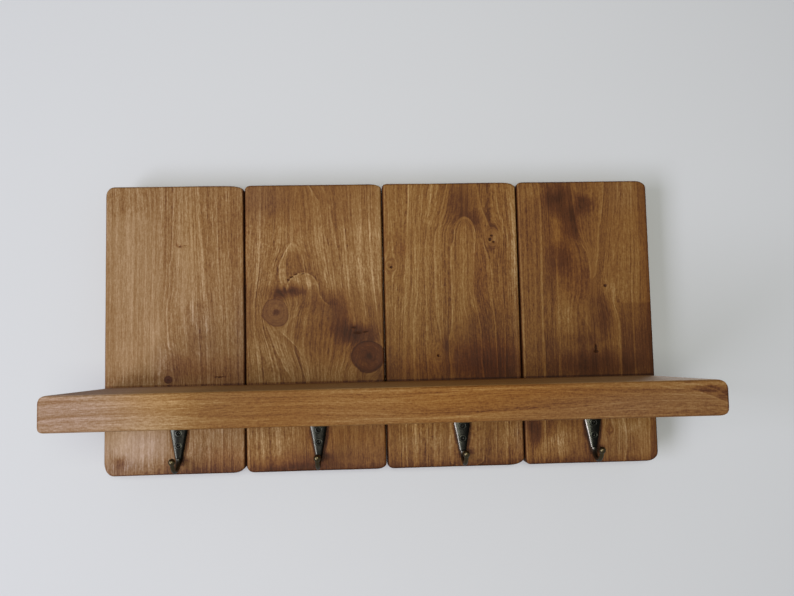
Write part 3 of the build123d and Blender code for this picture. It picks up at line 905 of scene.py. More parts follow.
def board_finish(index, box):
    """Stained, waxed pine with the growth lines, knots and stains of one back board."""
    seed = BOARD_SEEDS[index]
    knots = BOARD_KNOTS[index]
    finish = Finish("waxed_pine_board_" + str(index + 1))
    x, y, z = finish.split(finish.place())
    across = x - box.left
    along = z - box.bottom

    straight = straighten(finish, along, across, BOARD_GUIDES[index], box.width, box.height)
    straight = part_round(finish, straight, along, across, knots)
    bands, streaks, fibres, fine = grain_tone(finish, straight, y, along, seed)

    broad = finish.curve(along, BOARD_DRIFTS_UP[index], 0, box.height) + BOARD_TONES[index]
    broad = broad + finish.curve(across, BOARD_DRIFTS_ACROSS[index], 0, box.width)
    sway = finish.clouds(across, along, STAIN_PLACE_CLOUD, seed)
    loose_across = across + sway * STAIN_SWAY[0]
    loose_along = along + sway * STAIN_SWAY[1] + streaks * STAIN_FRAY
    shares = stain_shares(finish, loose_across, loose_along, BOARD_STAINS[index], STAIN_FADE)
    broad = stain_tone(broad, shares)
    for patch in BOARD_PATCHES[index]:
        inside = finish.within(across, patch.left, patch.right, PATCH_FADE[0])
        inside = inside * finish.within(along, patch.bottom, patch.top, PATCH_FADE[1])
        broad = broad + inside * patch.tone

    strengths = GRAIN_STRENGTHS if index else SANDED_STRENGTHS
    strength = finish.curve(broad, strengths, 0.0, TONE_TOP)
    lines = growth_tone(finish, along, across, BOARD_LINES[index], box.height, BOARD_ARCHES[index])
    tone = broad + lines * BOARD_LINE_SHARE + bands * BOARD_BANDS[index] + fine * strength
    tone, knot_shares = knot_tone(finish, tone, along, across, knots, seed, fibres * strength)
    jitter = finish.clouds(across, along, NICK_PLACE_CLOUD, seed)
    for nick in BOARD_NICKS[index]:
        reach = oval(finish, across + jitter * NICK_SWAY, along + jitter, nick)
        tone = tone - finish.smooth(reach, *NICK_FADE) * nick.strength
    on_face = finish.smooth(y - box.front, *FACE_FADE)
    tone = tone + edge_tone(finish, index, across, along, box, on_face)
    # Painted shadow of each hook on the board's face.
    tone = tone - hook_painted_shadow(finish, index, across, along, box) * on_face

    colour = finish.tint(1.0, pine_colour(finish, tone), BOARD_TINTS[index])
    colour = stain_colour(finish, colour, shares)
    for knot, share in zip(knots, knot_shares):
        colour = finish.tint(share, colour, knot.tint)
    relief_spot = finish.vector(x, y, z * RELIEF_RUN)
    return wax(finish, colour, relief_spot, WAX_ROUGHNESS, BOARD_GLOSS)


def shelf_finish(box):
    """Stained, waxed pine of the shelf, with its grain along the shelf."""
    finish = Finish("waxed_pine_shelf")
    x, y, z = finish.split(finish.place())
    along = x - box.left
    across = z - box.bottom
    deep = y - box.front
    length, thickness = box.width, box.height

    straight = straighten(finish, along, across, SHELF_GUIDES, thickness, length)
    pace = along * SHELF_GRAIN_PACE
    bands, _, _, fine = grain_tone(finish, straight, deep, pace, SHELF_SEED)
    broad = finish.curve(along, SHELF_DRIFT, 0, length) + SHELF_TONE
    strength = finish.curve(broad, SANDED_STRENGTHS, 0.0, TONE_TOP)
    tone = growth_tone(finish, along, across, SHELF_LINES, length) * SHELF_LINE_SHARE
    tone = tone + bands * SHELF_BANDS + fine * strength * SHELF_GRAIN + broad
    shares = stain_shares(finish, across, along, SHELF_STAINS, SHELF_STAIN_FADE)
    tone = stain_tone(tone, shares)

    edge_along = finish.lesser(along, length - along)
    edge_across = finish.lesser(across, thickness - across)
    edge = finish.lesser(edge_along, finish.greater(deep, edge_across))
    tone = tone - edge_darkening(finish, edge, SHELF_EDGE)
    tone = tone - edge_darkening(finish, edge_along, SHELF_END)
    # Painted highlight along the top arris.
    tone = tone + band_tone(finish, across, SHELF_TOP_ARRIS_HIGHLIGHT)

    outer, inner = FLAT_FACE_FADE
    on_top = finish.smooth(across, thickness - outer, thickness - inner)
    # Painted light: the top is made paler than the front, more at the right end and less at the back.
    low, high, amount = TOP_PAINTED_LIGHT_RIGHT
    lift = finish.smooth(along, low, high) * amount + TOP_PAINTED_LIGHT
    low, high, amount = TOP_PAINTED_LIGHT_BACK
    tone = tone + on_top * (lift - finish.smooth(deep, low, high) * amount)
    half = thickness / 2
    flat = finish.smooth(abs(across - half), half - outer, half - inner)
    lines = growth_tone(finish, along, deep, SHELF_TOP_LINES, length)
    tone = tone + flat * lines * SHELF_LINE_SHARE

    colour = stain_colour(finish, pine_colour(finish, tone), shares)
    colour = finish.tint(on_top, colour, TOP_TINT)
    relief_spot = finish.vector(x * RELIEF_RUN, y, z)
    return wax(finish, colour, relief_spot, SHELF_ROUGHNESS, SHELF_GLOSS)


def skin_rings(mesh, rings):
    """Skin a tube through rings of points, and hand back the rings' vertices."""
    made = [[mesh.verts.new(point) for point in ring] for ring in rings]
    for first, second in zip(made, made[1:]):
        for k in range(len(first)):
            n = (k + 1) % len(first)
            mesh.faces.new((first[k], first[n], second[n], second[k]))
    return made


def add_rings(mesh, rings):
    """Skin a closed form from rings of points."""
    made = skin_rings(mesh, rings)
    mesh.faces.new(made[0][::-1])
    mesh.faces.new(made[-1])


# Distances from a wooden piece's edges, in millimetres, at which its mesh has a line of points,
# so that its rounded edges are smooth, and the least distance between two lines.
CLOSE_LINES = (0.4, 1.0, 1.8, 2.8, 4.0, 5.5, 7.2)
LEAST_GAP = 0.08


def spaced(length, step, marks=()):
    """Positions from 0 to length: a plain spacing, closer at both ends and round marks."""
    spots = {0.0, length}
    for gap in CLOSE_LINES:
        spots.update((gap, length - gap))
    start = max(CLOSE_LINES)
    count = max(1, round((length - 2 * start) / step))
    spots.update(start + (length - 2 * start) * k / count for k in range(count + 1))
    for mark, reach in marks:
        spots.update(mark + reach * k / 4 for k in range(-6, 7))
    ordered = []
    for spot in sorted(s for s in spots if 0 <= s <= length):
        if not ordered or spot - ordered[-1] > LEAST_GAP:
            ordered.append(spot)
    ordered[-1] = length
    return ordered


class Slab:
    """A flat piece of wood with rounded corners and arrises, as a grid of points.

    The face runs along a and b, and the depth runs from 0 at the face to the thickness.
    """

    def __init__(self, size, corners, arrises, keep_top=False):
        self.size_a, self.size_b, self.thickness = size
        self.corners = corners
        self.face_arris, self.back_arris = arrises
        self.keep_top = keep_top

    def extent(self, b, inset):
        """Lowest and highest a of the outline at b, drawn in by inset."""
        ends = []
        for side in (0, 1):
            low_corner, high_corner = self.corners[side], self.corners[side + 2]
            reach = 0.0
            if b < low_corner[1]:
                reach = self.corner_reach(low_corner, low_corner[1] - b, inset)
            elif b > self.size_b - high_corner[1]:
                reach = self.corner_reach(high_corner, b - self.size_b + high_corner[1], inset)
            ends.append(max(reach, inset))
        return ends[0], self.size_a - ends[1]

    @staticmethod
    def corner_reach(corner, rise, inset):
        """How far an oval corner (its reach along a, its reach along b) draws the outline in."""
        reach_a, reach_b = (max(size - inset, 0.01) for size in corner)
        return corner[0] - reach_a * math.sqrt(max(1 - (rise / reach_b) ** 2, 0.0))

    def point(self, share_a, b_full, inset):
        """A point of the face grid when the outline is drawn in by inset."""
        top_inset = 0.0 if self.keep_top else inset
        b = inset + b_full * (self.size_b - inset - top_inset) / self.size_b
        low, high = self.extent(b, inset)
        return low + (high - low) * share_a, b

    def layers(self, side_step, turns=5):
        """(inset, depth) of each ring, from the face to the back."""
        angles = [math.radians(90 * k / turns) for k in range(turns + 1)]
        face, back = self.face_arris, self.back_arris
        rings = [(face * (1 - math.sin(a)), face * (1 - math.cos(a))) for a in angles]
        straight = self.thickness - face - back
        count = max(1, round(straight / side_step))
        rings += [(0.0, face + straight * k / count) for k in range(1, count)]
        for a in angles:
            rings.append((back * (1 - math.cos(a)), self.thickness - back * (1 - math.sin(a))))
        return rings

    def build(self, columns, rows, side_step, grid_back):
        """The slab as a bmesh in (a, b, depth), in millimetres."""
        mesh = bmesh.new()
        wide, tall = len(columns), len(rows)
        border = [(i, 0) for i in range(wide)]
        border += [(wide - 1, j) for j in range(1, tall)]
        border += [(i, tall - 1) for i in range(wide - 2, -1, -1)]
        border += [(0, j) for j in range(tall - 2, 0, -1)]
        shares = [c / self.size_a for c in columns]
        layers = self.layers(side_step)
        rings = []
        for inset, depth in layers:
            spots = [self.point(shares[i], rows[j], inset) for i, j in border]
            rings.append([(a, b, depth) for a, b in spots])
        rings = skin_rings(mesh, rings)
        self.cap(mesh, border, rings[0], shares, rows, layers[0], True, True)
        self.cap(mesh, border, rings[-1], shares, rows, layers[-1], False, grid_back)
        return mesh

    def cap(self, mesh, border, ring, shares, rows, layer, facing, gridded):
        """Close the slab at one end, with a grid of its own or with one face."""
        if not gridded:
            mesh.faces.new(ring if not facing else ring[::-1])
            return
        inset, depth = layer
        found = dict(zip(border, ring))
        for j in range(1, len(rows) - 1):
            for i in range(1, len(shares) - 1):
                a, b = self.point(shares[i], rows[j], inset)
                found[i, j] = mesh.verts.new((a, b, depth))
        for j in range(len(rows) - 1):
            for i in range(len(shares) - 1):
                quad = [found[i, j], found[i + 1, j], found[i + 1, j + 1], found[i, j + 1]]
                mesh.faces.new(quad[::-1] if facing else quad)


def add_piece(name, mesh, finish, node, sharp=40, offset=(0, 0, 0)):
    """Make an object of a bmesh in millimetres, moved by offset, that stands for its node.

    Its shading is smooth, and edges above the sharp angle, in degrees, stay sharp.
    """
    for vert in mesh.verts:
        vert.co = [(value + move) * MM for value, move in zip(vert.co, offset)]
    data = bpy.data.meshes.new(name)
    bmesh.ops.recalc_face_normals(mesh, faces=mesh.faces)
    mesh.to_mesh(data)
    mesh.free()
    data.materials.append(finish)
    for face in data.polygons:
        face.use_smooth = True
    data.set_sharp_from_angle(angle=math.radians(sharp))
    piece = bpy.data.objects.new(name, data)
    bpy.context.scene.collection.objects.link(piece)
    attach(piece, BODY)
    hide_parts(node)


# Largest spacing of a wooden piece's points, in millimetres: across, up or back, and deep.
BOARD_STEPS = (2.8, 3.4, 3.0)
SHELF_STEPS = (4.0, 4.5, 2.5)

# How wear fades from a board's edge, how far its small roughness draws the edge in, what
# counts as its face, and how deep a nick is, in millimetres.
WEAR_REACH = 6.0
EDGE_ROUGHNESS = 0.08
FACE_SKIN = 0.5
NICK_DEPTH = 0.9
NICK_FALL = 0.7

# Neighbouring boards almost meet behind their front arrises.
MEETING_FROM = 7.0
MEETING_FULL = 11.0
MEETING_REACH = 0.36
SIDE_SKIN = 1.5

# Radius of the edges that run from front to back at the shelf's ends: left top, left bottom,
# right top, right bottom. Then how deep its front is left a little uneven.
SHELF_END_RADII = (7.5, 5.5, 9.5, 8.0)
SHELF_FRONT_SKIN = 6.0


def wavy(x, y, z):
    """Seedless noise, from about 0 to 1."""
    return 0.5 + 0.5 * noise.noise(Vector((x, y, z)))


def share_between(value, low, high):
    """How far a value lies between low and high, from 0 to 1."""
    return min(max((value - low) / (high - low), 0.0), 1.0)


def make_back_board(index, wood):
    """One back board: softened outline, rounded arrises, nicks cut into its face."""
    node = "back_board_" + str(index + 1)
    box = Box(node)
    nicks = BOARD_NICKS[index]
    step_across, step_up, step_deep = BOARD_STEPS
    columns = spaced(box.width, step_across, [(n.across, n.half_width) for n in nicks])
    rows = spaced(box.height, step_up, [(n.height, n.half_height) for n in nicks])
    size = (box.width, box.height, box.depth)
    slab = Slab(size, BOARD_CORNERS[index], (wood.board_arris, wood.back_arris))
    mesh = slab.build(columns, rows, step_deep, False)
    for vert in mesh.verts:
        across, along, deep = vert.co
        vert.co = (box.left + across, box.front + deep, box.bottom + along)
    wear_board(mesh, box, nicks, wood)
    close_gap(mesh, index, box)
    finish = board_finish(index, box)
    add_piece("waxed_board_" + str(index + 1), mesh, finish, node)


def wear_board(mesh, box, nicks, wood):
    """Make a board's outline a little uneven and press its nicks in."""
    edges = ((0, box.left, 1), (0, box.right, -1), (2, box.bottom, 1), (2, box.top, -1))
    for vert in mesh.verts:
        x, y, z = vert.co
        inward = wood.outline_drift * wavy(x * 0.02, y * 0.05, z * 0.013)
        inward += EDGE_ROUGHNESS * wavy(x * 0.09, y * 0.09, z * 0.07 + 9)
        for axis, edge, sign in edges:
            near = max(0.0, 1 - abs(vert.co[axis] - edge) / WEAR_REACH)
            vert.co[axis] += sign * inward * near
        if y < box.front + FACE_SKIN:
            vert.co.y += wood.face_wave * wavy(x * 0.013, 3.0, z * 0.009)
            for nick in nicks:
                across = (x - box.left - nick.across) / nick.half_width
                up = (z - box.bottom - nick.height) / nick.half_height
                inside = max(0.0, 1 - math.hypot(across, up))
                vert.co.y += NICK_DEPTH * nick.strength * inside ** NICK_FALL


def close_gap(mesh, index, box):
    """Let a board's inner sides lean out towards their neighbours behind the arris."""
    sides = []
    if index > 0:
        sides.append((box.left, -1))
    if index < BOARD_COUNT - 1:
        sides.append((box.right, 1))
    for edge, sign in sides:
        for vert in mesh.verts:
            lean = share_between(vert.co.y - box.front, MEETING_FROM, MEETING_FULL)
            if abs(vert.co.x - edge) < SIDE_SKIN:
                vert.co.x += sign * MEETING_REACH * lean


def sand_edge(mesh, edge_x, sign_x, edge_z, sign_z, radius):
    """Round one edge that runs from front to back: points beyond the round are drawn in."""
    centre_x = edge_x - sign_x * radius
    centre_z = edge_z - sign_z * radius
    for vert in mesh.verts:
        out_x = (vert.co.x - centre_x) * sign_x
        out_z = (vert.co.z - centre_z) * sign_z
        reach = math.hypot(out_x, out_z)
        if min(out_x, out_z) > 0 and reach > radius:
            vert.co.x = centre_x + sign_x * out_x * radius / reach
            vert.co.z = centre_z + sign_z * out_z * radius / reach


def make_shelf_board(wood):
    """The shelf board, with its ends sanded rounder than its long arrises."""
    box = Box("shelf_board")
    step_along, step_back, step_down = SHELF_STEPS
    columns = spaced(box.width, step_along)
    rows = spaced(box.depth, step_back)
    front = (wood.shelf_corner, wood.shelf_corner)
    size = (box.width, box.depth, box.height)
    arrises = (wood.shelf_arris, wood.shelf_arris)
    slab = Slab(size, (front, front, (0, 0), (0, 0)), arrises, keep_top=True)
    mesh = slab.build(columns, rows, step_down, True)
    for vert in mesh.verts:
        along, deep, down = vert.co
        vert.co = (box.left + along, box.front + deep, box.top - down)
    for vert in mesh.verts:
        x, y, z = vert.co
        if y < box.front + SHELF_FRONT_SKIN:
            vert.co.y += wood.outline_drift * wavy(x * 0.012, y * 0.02, z * 0.05)
    ends = ((box.left, -1, box.top, 1), (box.left, -1, box.bottom, -1),
            (box.right, 1, box.top, 1), (box.right, 1, box.bottom, -1))
    for end, radius in zip(ends, SHELF_END_RADII):
        sand_edge(mesh, *end, radius)
    add_piece("waxed_shelf", mesh, shelf_finish(box), "shelf_board")


# Places out from the wall, in millimetres: where the arm leaves the plate, and between which
# the arm turns to old brass towards its ball.
ARM_FROM = -44.6
ARM_FULL = -43.2
BALL_BRASS_FROM = -60.0
BALL_BRASS_FULL = -66.0

# Metals: the darker and lighter colour of each, and the colours of the iron's painted light and
# highlight and of the screw rims' painted highlight.
IRON_SHADES = (shade(26, 26, 24), shade(35, 34, 31))
ARM_SHADE = shade(74, 71, 63)
BRASS_SHADE = shade(92, 83, 60)
LIT_SIDE_SHADE = shade(86, 87, 79)
BEVEL_HIGHLIGHT_SHADE = shade(124, 119, 110)
BLACKENED_SHADES = (shade(9, 9, 8), shade(22, 21, 19))
RIM_HIGHLIGHT_SHADE = shade(66, 67, 60)
ZINC_SHADES = (shade(150, 152, 152), shade(190, 192, 190))
YELLOW_ZINC_SHADES = (shade(160, 136, 84), shade(206, 184, 128))
METAL_STOPS = (0.3, 0.7)

# How far the surface leans to the left where the iron gets painted light and a painted highlight, and
# how far a screw's head faces out of the wall where its rim gets a painted highlight.
LIT_SIDE_LEAN = (0.10, 0.30)
BEVEL_HIGHLIGHT_LEAN = (0.34, 0.62)
LEAN_CLOUD = 0.1
RIM_FACING = (-0.980, -0.70, 0.005)


def metal_ramp(finish, cloud, shades):
    """A metal's colour, from its darker to its lighter one."""
    return finish.ramp(cloud, list(zip(METAL_STOPS, shades)))


def iron_finish():
    """Antique cast iron: black, with painted light and a painted highlight where its plate leans left,
    old brass on its ball.
    """
    finish = Finish("antique_iron")
    place = finish.place()
    out = finish.split(place)[1]
    cloud = finish.noise(place, 0.35, 3.0)
    grain = finish.noise(place, 1.6, 3.0)
    on_plate = finish.smooth(out, ARM_FROM, ARM_FULL)
    lean = cloud * LEAN_CLOUD - finish.facing()[0]
    # Painted light where the plate leans left, and a painted highlight on its left bevel.
    lit_side = finish.smooth(lean, *LIT_SIDE_LEAN) * on_plate
    bevel_highlight = finish.smooth(lean, *BEVEL_HIGHLIGHT_LEAN) * on_plate
    brassy = finish.smooth(out, BALL_BRASS_FROM, BALL_BRASS_FULL)
    arm = finish.mix(brassy, ARM_SHADE, BRASS_SHADE)
    colour = finish.mix(on_plate, arm, metal_ramp(finish, cloud, IRON_SHADES))
    colour = finish.mix(lit_side, colour, LIT_SIDE_SHADE)
    colour = finish.mix(bevel_highlight, colour, BEVEL_HIGHLIGHT_SHADE)
    roughness = grain * 0.20 + 0.28 - bevel_highlight * 0.14 - brassy * 0.08
    normal = finish.bump(grain, 0.00010)
    return finish.surface(colour, roughness, normal, metallic=0.95)


def steel_finish(name, shades, rough, rim_highlight=False):
    """Plated or blackened steel with a little unevenness, with or without a painted highlight at a
    domed head's rim.
    """
    finish = Finish(name)
    place = finish.place()
    cloud = finish.noise(place, 0.8, 3.0)
    colour = metal_ramp(finish, cloud, shades)
    if rim_highlight:
        # Painted highlight: a paler ring at a domed head's rim.
        rim = finish.within(finish.facing()[1], *RIM_FACING)
        colour = finish.mix(rim, colour, RIM_HIGHLIGHT_SHADE)
    normal = finish.bump(finish.noise(place, 4.0, 2.0), 0.00005)
    return finish.surface(colour, cloud * 0.2 + rough, normal, metallic=0.9)


def plate_outline(sizes, inset, steps=10):
    """Long teardrop outline of a hook's plate, drawn in by inset: (x, z) round its middle line."""
    drop = sizes.plate_length - sizes.head_radius - sizes.tail_radius
    lean = math.asin((sizes.head_radius - sizes.tail_radius) / drop)
    rounds = (
        (3 * steps, sizes.head_radius, -sizes.head_radius, -lean, math.pi + 2 * lean),
        (steps, sizes.tail_radius, -sizes.head_radius - drop, math.pi + lean, math.pi - 2 * lean),
    )
    points = []
    for count, radius, middle, start, sweep in rounds:
        reach = radius - inset
        for k in range(count + 1):
            angle = start + sweep * k / count
            points.append((reach * math.cos(angle), middle + reach * math.sin(angle)))
    return points


# The arm: its rings and their sides, how soon the thick root and the taper end, in
# millimetres, how much it tapers, and how hard its join to the ball is.
ARM_RINGS = 72
ARM_SIDES = 28
ROOT_RUN = 7.0
TAPER = 0.35
TAPER_RUN = 30.0
BALL_JOIN = 6
TIP_RADIUS = 0.05
TIP_SHARE = 0.999


def ring_angles(sides):
    """Angles of a ring's points."""
    return [2 * math.pi * k / sides for k in range(sides)]


def arm_rings(sizes, board_front, top):
    """The arm and its ball: rings along a round bend, thick at the root and at the ball."""
    tail_z = top - sizes.plate_length + sizes.tail_radius
    start, end, bend = sizes.bend_start, sizes.bend_end, sizes.bend_radius
    middle_y = board_front - sizes.root_depth + bend * math.sin(start)
    middle_z = tail_z + sizes.root_rise + bend * math.cos(start)
    past = math.asin(sizes.ball_radius / bend) * TIP_SHARE
    rings = []
    for k in range(ARM_RINGS + 1):
        angle = start + (end + past - start) * k / ARM_RINGS
        run = (angle - start) * bend
        left = (end - angle) * bend
        ball = math.sqrt(max(sizes.ball_radius ** 2 - left ** 2, 0.0))
        if left > 0:
            root = sizes.root_radius * math.exp(-run / ROOT_RUN)
            arm = math.hypot(root, sizes.arm_radius - TAPER * min(run / TAPER_RUN, 1.0))
            reach = (arm ** BALL_JOIN + ball ** BALL_JOIN) ** (1 / BALL_JOIN)
        else:
            reach = max(ball, TIP_RADIUS)
        out_y, out_z = math.sin(angle), math.cos(angle)
        centre_y, centre_z = middle_y - bend * out_y, middle_z - bend * out_z
        ring = []
        for turn in ring_angles(ARM_SIDES):
            rise = reach * math.sin(turn)
            ring.append((reach * math.cos(turn), centre_y + out_y * rise, centre_z + out_z * rise))
        rings.append(ring)
    return rings


def cast(mesh, grain):
    """Melt joined forms into one skin of even small faces, and soften its edges."""
    data = bpy.data.meshes.new("casting")
    bmesh.ops.recalc_face_normals(mesh, faces=mesh.faces)
    mesh.to_mesh(data)
    mesh.free()
    raw = bpy.data.objects.new("casting", data)
    bpy.context.scene.collection.objects.link(raw)
    remesh = raw.modifiers.new("skin", "REMESH")
    remesh.mode = "VOXEL"
    remesh.voxel_size = grain
    soften = raw.modifiers.new("soften", "SMOOTH")
    soften.factor = 0.5
    soften.iterations = 4
    ready = raw.evaluated_get(bpy.context.evaluated_depsgraph_get())
    skin = bmesh.new()
    skin.from_mesh(ready.to_mesh())
    ready.to_mesh_clear()
    bpy.data.objects.remove(raw)
    bpy.data.meshes.remove(data)
    return skin


# A hook plate's face: what counts as its front, and how deep its falling off reaches. Then how
# deep a screw's seat is and how far past the screw's head it reaches, all in millimetres.
PLATE_SKIN = 0.5
CROWN_DEPTH = 3.0
SEAT_SKIN = 1.0
SEAT_DEPTH = 1.7
SEAT_MARGIN = 0.25

# How much wider a plate is made than its outline, because casting rounds it off, and into how
# many steps its bevel turns.
PLATE_SPREAD = 0.3
BEVEL_STEPS = 8


def round_face(mesh, sizes, front, top):
    """Let a plate's face fall off a little from its middle line to its sides."""
    taper = (sizes.head_radius - sizes.tail_radius) / sizes.plate_length
    for vert in mesh.verts:
        x, y, z = vert.co
        half = sizes.head_radius - taper * (top - z)
        if y > front - PLATE_SKIN:
            fall = sizes.face_crown * half * min(abs(x) / half, 1.0) ** 2
            vert.co.y += fall * share_between(front + CROWN_DEPTH - y, 0.0, CROWN_DEPTH)


def sink(mesh, screws, front):
    """Press a seat for each screw head into the front of a plate."""
    for vert in mesh.verts:
        x, y, z = vert.co
        if y > front + SEAT_SKIN:
            continue
        for screw in screws:
            radius = screw.width / 2
            inside = radius + SEAT_MARGIN - math.hypot(x, z - screw.middle_z)
            if inside > 0:
                vert.co.y += min(inside, SEAT_DEPTH) * (1.0 if inside > SEAT_MARGIN else 0.5)


def make_hooks(sizes):
    """The four cast hooks, each one casting: plate with a rounded bevel, round arm and ball."""
    first = Box("hook_1")
    plate_front = first.back - sizes.plate_edge - sizes.plate_crown
    outlines = [(-PLATE_SPREAD, 0.0)]
    for k in range(BEVEL_STEPS + 1):
        angle = math.radians(90 * k / BEVEL_STEPS)
        inset = sizes.bevel_width * (1 - math.cos(angle)) - PLATE_SPREAD * math.cos(angle)
        outlines.append((inset, sizes.plate_edge + sizes.plate_crown * math.sin(angle)))
    rings = []
    for inset, depth in outlines:
        outline = plate_outline(sizes, inset)
        rings.append([(x, first.back - depth, first.top + z) for x, z in outline])
    form = bmesh.new()
    add_rings(form, rings)
    add_rings(form, arm_rings(sizes, first.back, first.top))
    form = cast(form, sizes.casting_grain)
    round_face(form, sizes, plate_front, first.top)
    screws = [Box("hook_1_screw_" + name) for name in ("upper", "lower")]
    sink(form, screws, plate_front)
    finish = iron_finish()
    for number in range(1, BOARD_COUNT + 1):
        node = "hook_" + str(number)
        offset = (Box(node).middle_x, 0, 0)
        add_piece("cast_" + node, form.copy(), finish, node, 60, offset)
    form.free()


# How far the cross recess of each hook screw is turned, in degrees.
SCREW_TURNS = [12, 37, 64, 5, 48, 80, 21, 58]

# A hook screw's head, in millimetres: height of its dome over the rim, how far the rim stands
# back from the front, depth of the recess and softness of its walls. The shares of the head's
# radius are the recess's half width and arm length, and the shank's radius.
DOME_HEIGHT = 0.42
RIM_SETBACK = 0.25
RECESS_DEPTH = 1.25
RECESS_WALL = 0.12
RECESS_HALF_WIDTH = 0.15
RECESS_ARM = 0.56
SHANK_SHARE = 0.51

# Rings below the rim: (share of the radius, depth), and the radius of the point.
RIM_RINGS = ((1.0, 0.12), (0.99, 0.32))
POINT_RADIUS = 0.15
HEAD_SIDES = 72
HEAD_RINGS = 22


def head_height(x, z, radius, turn):
    """Height of a screw head's front over its rim: a low dome with a cross recess."""
    dome = DOME_HEIGHT * (1 - (math.hypot(x, z) / radius) ** 2)
    along = abs(x * math.cos(turn) + z * math.sin(turn))
    aside = abs(z * math.cos(turn) - x * math.sin(turn))
    recess = 0.0
    for a, b in ((along, aside), (aside, along)):
        run = max(0.0, 1 - (a / (radius * RECESS_ARM)) ** 3)
        half = radius * RECESS_HALF_WIDTH * (0.7 + 0.5 * run)
        wall = share_between((half - b) / RECESS_WALL, -0.5, 0.5)
        recess = max(recess, run ** 0.6 * wall)
    return dome - RECESS_DEPTH * recess


def make_hook_screws(finish):
    """Two screws to a hook, with domed heads, cross recesses, cones and pointed shanks."""
    for index in range(2 * BOARD_COUNT):
        hook, end = index // 2 + 1, "lower" if index % 2 else "upper"
        node = "hook_{}_screw_{}".format(hook, end)
        box = Box(node)
        radius = box.width / 2
        shank = radius * SHANK_SHARE
        turn = math.radians(SCREW_TURNS[index])
        below = [(radius * share, depth) for share, depth in RIM_RINGS]
        cone_end = RIM_RINGS[-1][1] + radius - shank
        below += [(shank, cone_end), (shank, box.depth - 2 * shank), (POINT_RADIUS, box.depth)]
        rings = []
        for reach, depth in reversed(below):
            angles = ring_angles(HEAD_SIDES)
            rings.append([(reach * math.cos(a), depth, reach * math.sin(a)) for a in angles])
        for k in range(HEAD_RINGS, 0, -1):
            reach = radius * (k / HEAD_RINGS) ** 0.9
            spots = [(reach * math.cos(a), reach * math.sin(a)) for a in ring_angles(HEAD_SIDES)]
            rings.append([(x, RIM_SETBACK - head_height(x, z, radius, turn), z) for x, z in spots])
        mesh = bmesh.new()
        add_rings(mesh, rings)
        name = "black_{}_cross_screw_{}".format(hook, end)
        offset = (box.middle_x, box.front, box.middle_z)
        add_piece(name, mesh, finish, node, 50, offset)


def batten_finish():
    """Bare planed pine, with its grain along the batten."""
    finish = Finish("bare_pine")
    x, y, z = finish.split(finish.place())
    bands = finish.noise(finish.vector(x * 0.006, y * 0.15, z * 0.15))
    fibres = finish.noise(finish.vector(x * 0.04, y * 1.2, z * 1.2), detail=3.0)
    tone = bands * 0.7 + fibres * 0.3
    colour = finish.ramp(tone, [(0.3, shade(178, 142, 98)), (0.7, shade(222, 192, 148))])
    return finish.surface(colour, 0.7, finish.bump(fibres, 0.0003, 0.6))


def dress_nodes(start, finish, screw_finish):
    """Give the nodes of the frame whose names begin with start their finish."""
    for name, node in sorted(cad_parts.items()):
        if name.startswith(start):
            slots = node.data.materials
            slots.clear()
            slots.append(screw_finish if "screw" in name else finish)


# The stage, in metres: how far the wall stands behind the shelf's back, and how far the wall
# and floor reach. Rays shorter than the clearance pass the wall, so that the shelf's back
# isn't black when it is looked at from behind.
WALL_BEHIND = 0.0005
STAGE_HALF_WIDTH = 4
FLOOR_HEIGHT = -2.6
WALL_TOP = 2.2
FLOOR_FRONT = -5
WALL_CLEARANCE = 0.026
CLEARANCE_FADE = 0.002

# Soft lamps that all point at the shelf's middle: place and size in metres, strength in watts.
Lamp = namedtuple("Lamp", "name place size watts colour")
LAMP_TARGET = (0, 0, -0.1)
LAMPS = [
    Lamp("room_light", (0, -1.6, -0.1), (0.56, 0.56), 10.2, (1.0, 1.0, 0.88)),
    Lamp("window_light", (-2.2, -2.26, -0.85), (1.12, 2.24), 56.7, (1.0, 0.99, 1.14)),
    Lamp("back_light", (0.7, 1.7, 0.6), (1.0, 1.0), 12.0, WHITE),
]
ROOM_STRENGTH = 0.25


def wall_finish(colour):
    """Matt painted wall that is only there from the room side."""
    finish = Finish("painted_wall")
    cloud = finish.noise(finish.place(), 0.004, 2.0)
    tint = finish.mix(cloud, tuple(c * 0.98 for c in colour), tuple(colour))
    paint = finish.node("BsdfDiffuse", {"Color": tint})
    clear = finish.node("BsdfTransparent")
    behind = finish.node("NewGeometry", output=6)
    ray_length = finish.node("LightPath", output=7)
    from_camera = finish.node("LightPath", output=0)
    close = finish.smooth(ray_length, WALL_CLEARANCE, WALL_CLEARANCE - CLEARANCE_FADE)
    passing = finish.greater(behind, close * (1.0 - from_camera))
    return finish.end(finish.node("MixShader", enumerate((passing, paint, clear))))


def make_plane(name, corners, material):
    """A flat piece of the stage."""
    data = bpy.data.meshes.new(name)
    data.from_pydata(corners, [], [tuple(range(len(corners)))])
    data.materials.append(material)
    plane = bpy.data.objects.new(name, data)
    bpy.context.scene.collection.objects.link(plane)


def make_lamp(lamp):
    """A soft rectangular lamp that points at the shelf."""
    data = bpy.data.lights.new(lamp.name, "AREA")
    data.shape = "RECTANGLE"
    data.size, data.size_y = lamp.size
    data.energy = lamp.watts
    data.color = lamp.colour
    made = bpy.data.objects.new(lamp.name, data)
    made.location = lamp.place
    aim = Vector(LAMP_TARGET) - Vector(lamp.place)
    made.rotation_euler = aim.to_track_quat("-Z", "Y").to_euler()
    bpy.context.scene.collection.objects.link(made)


def length_setting(name, about, millimetres, least=0.0):
    """A setting that holds a length. Its default and its least value are in millimetres."""
    return bpy.props.FloatProperty(
        name=name, description=about, default=millimetres * MM, min=least * MM,
        subtype="DISTANCE", unit="LENGTH", precision=5,
    )


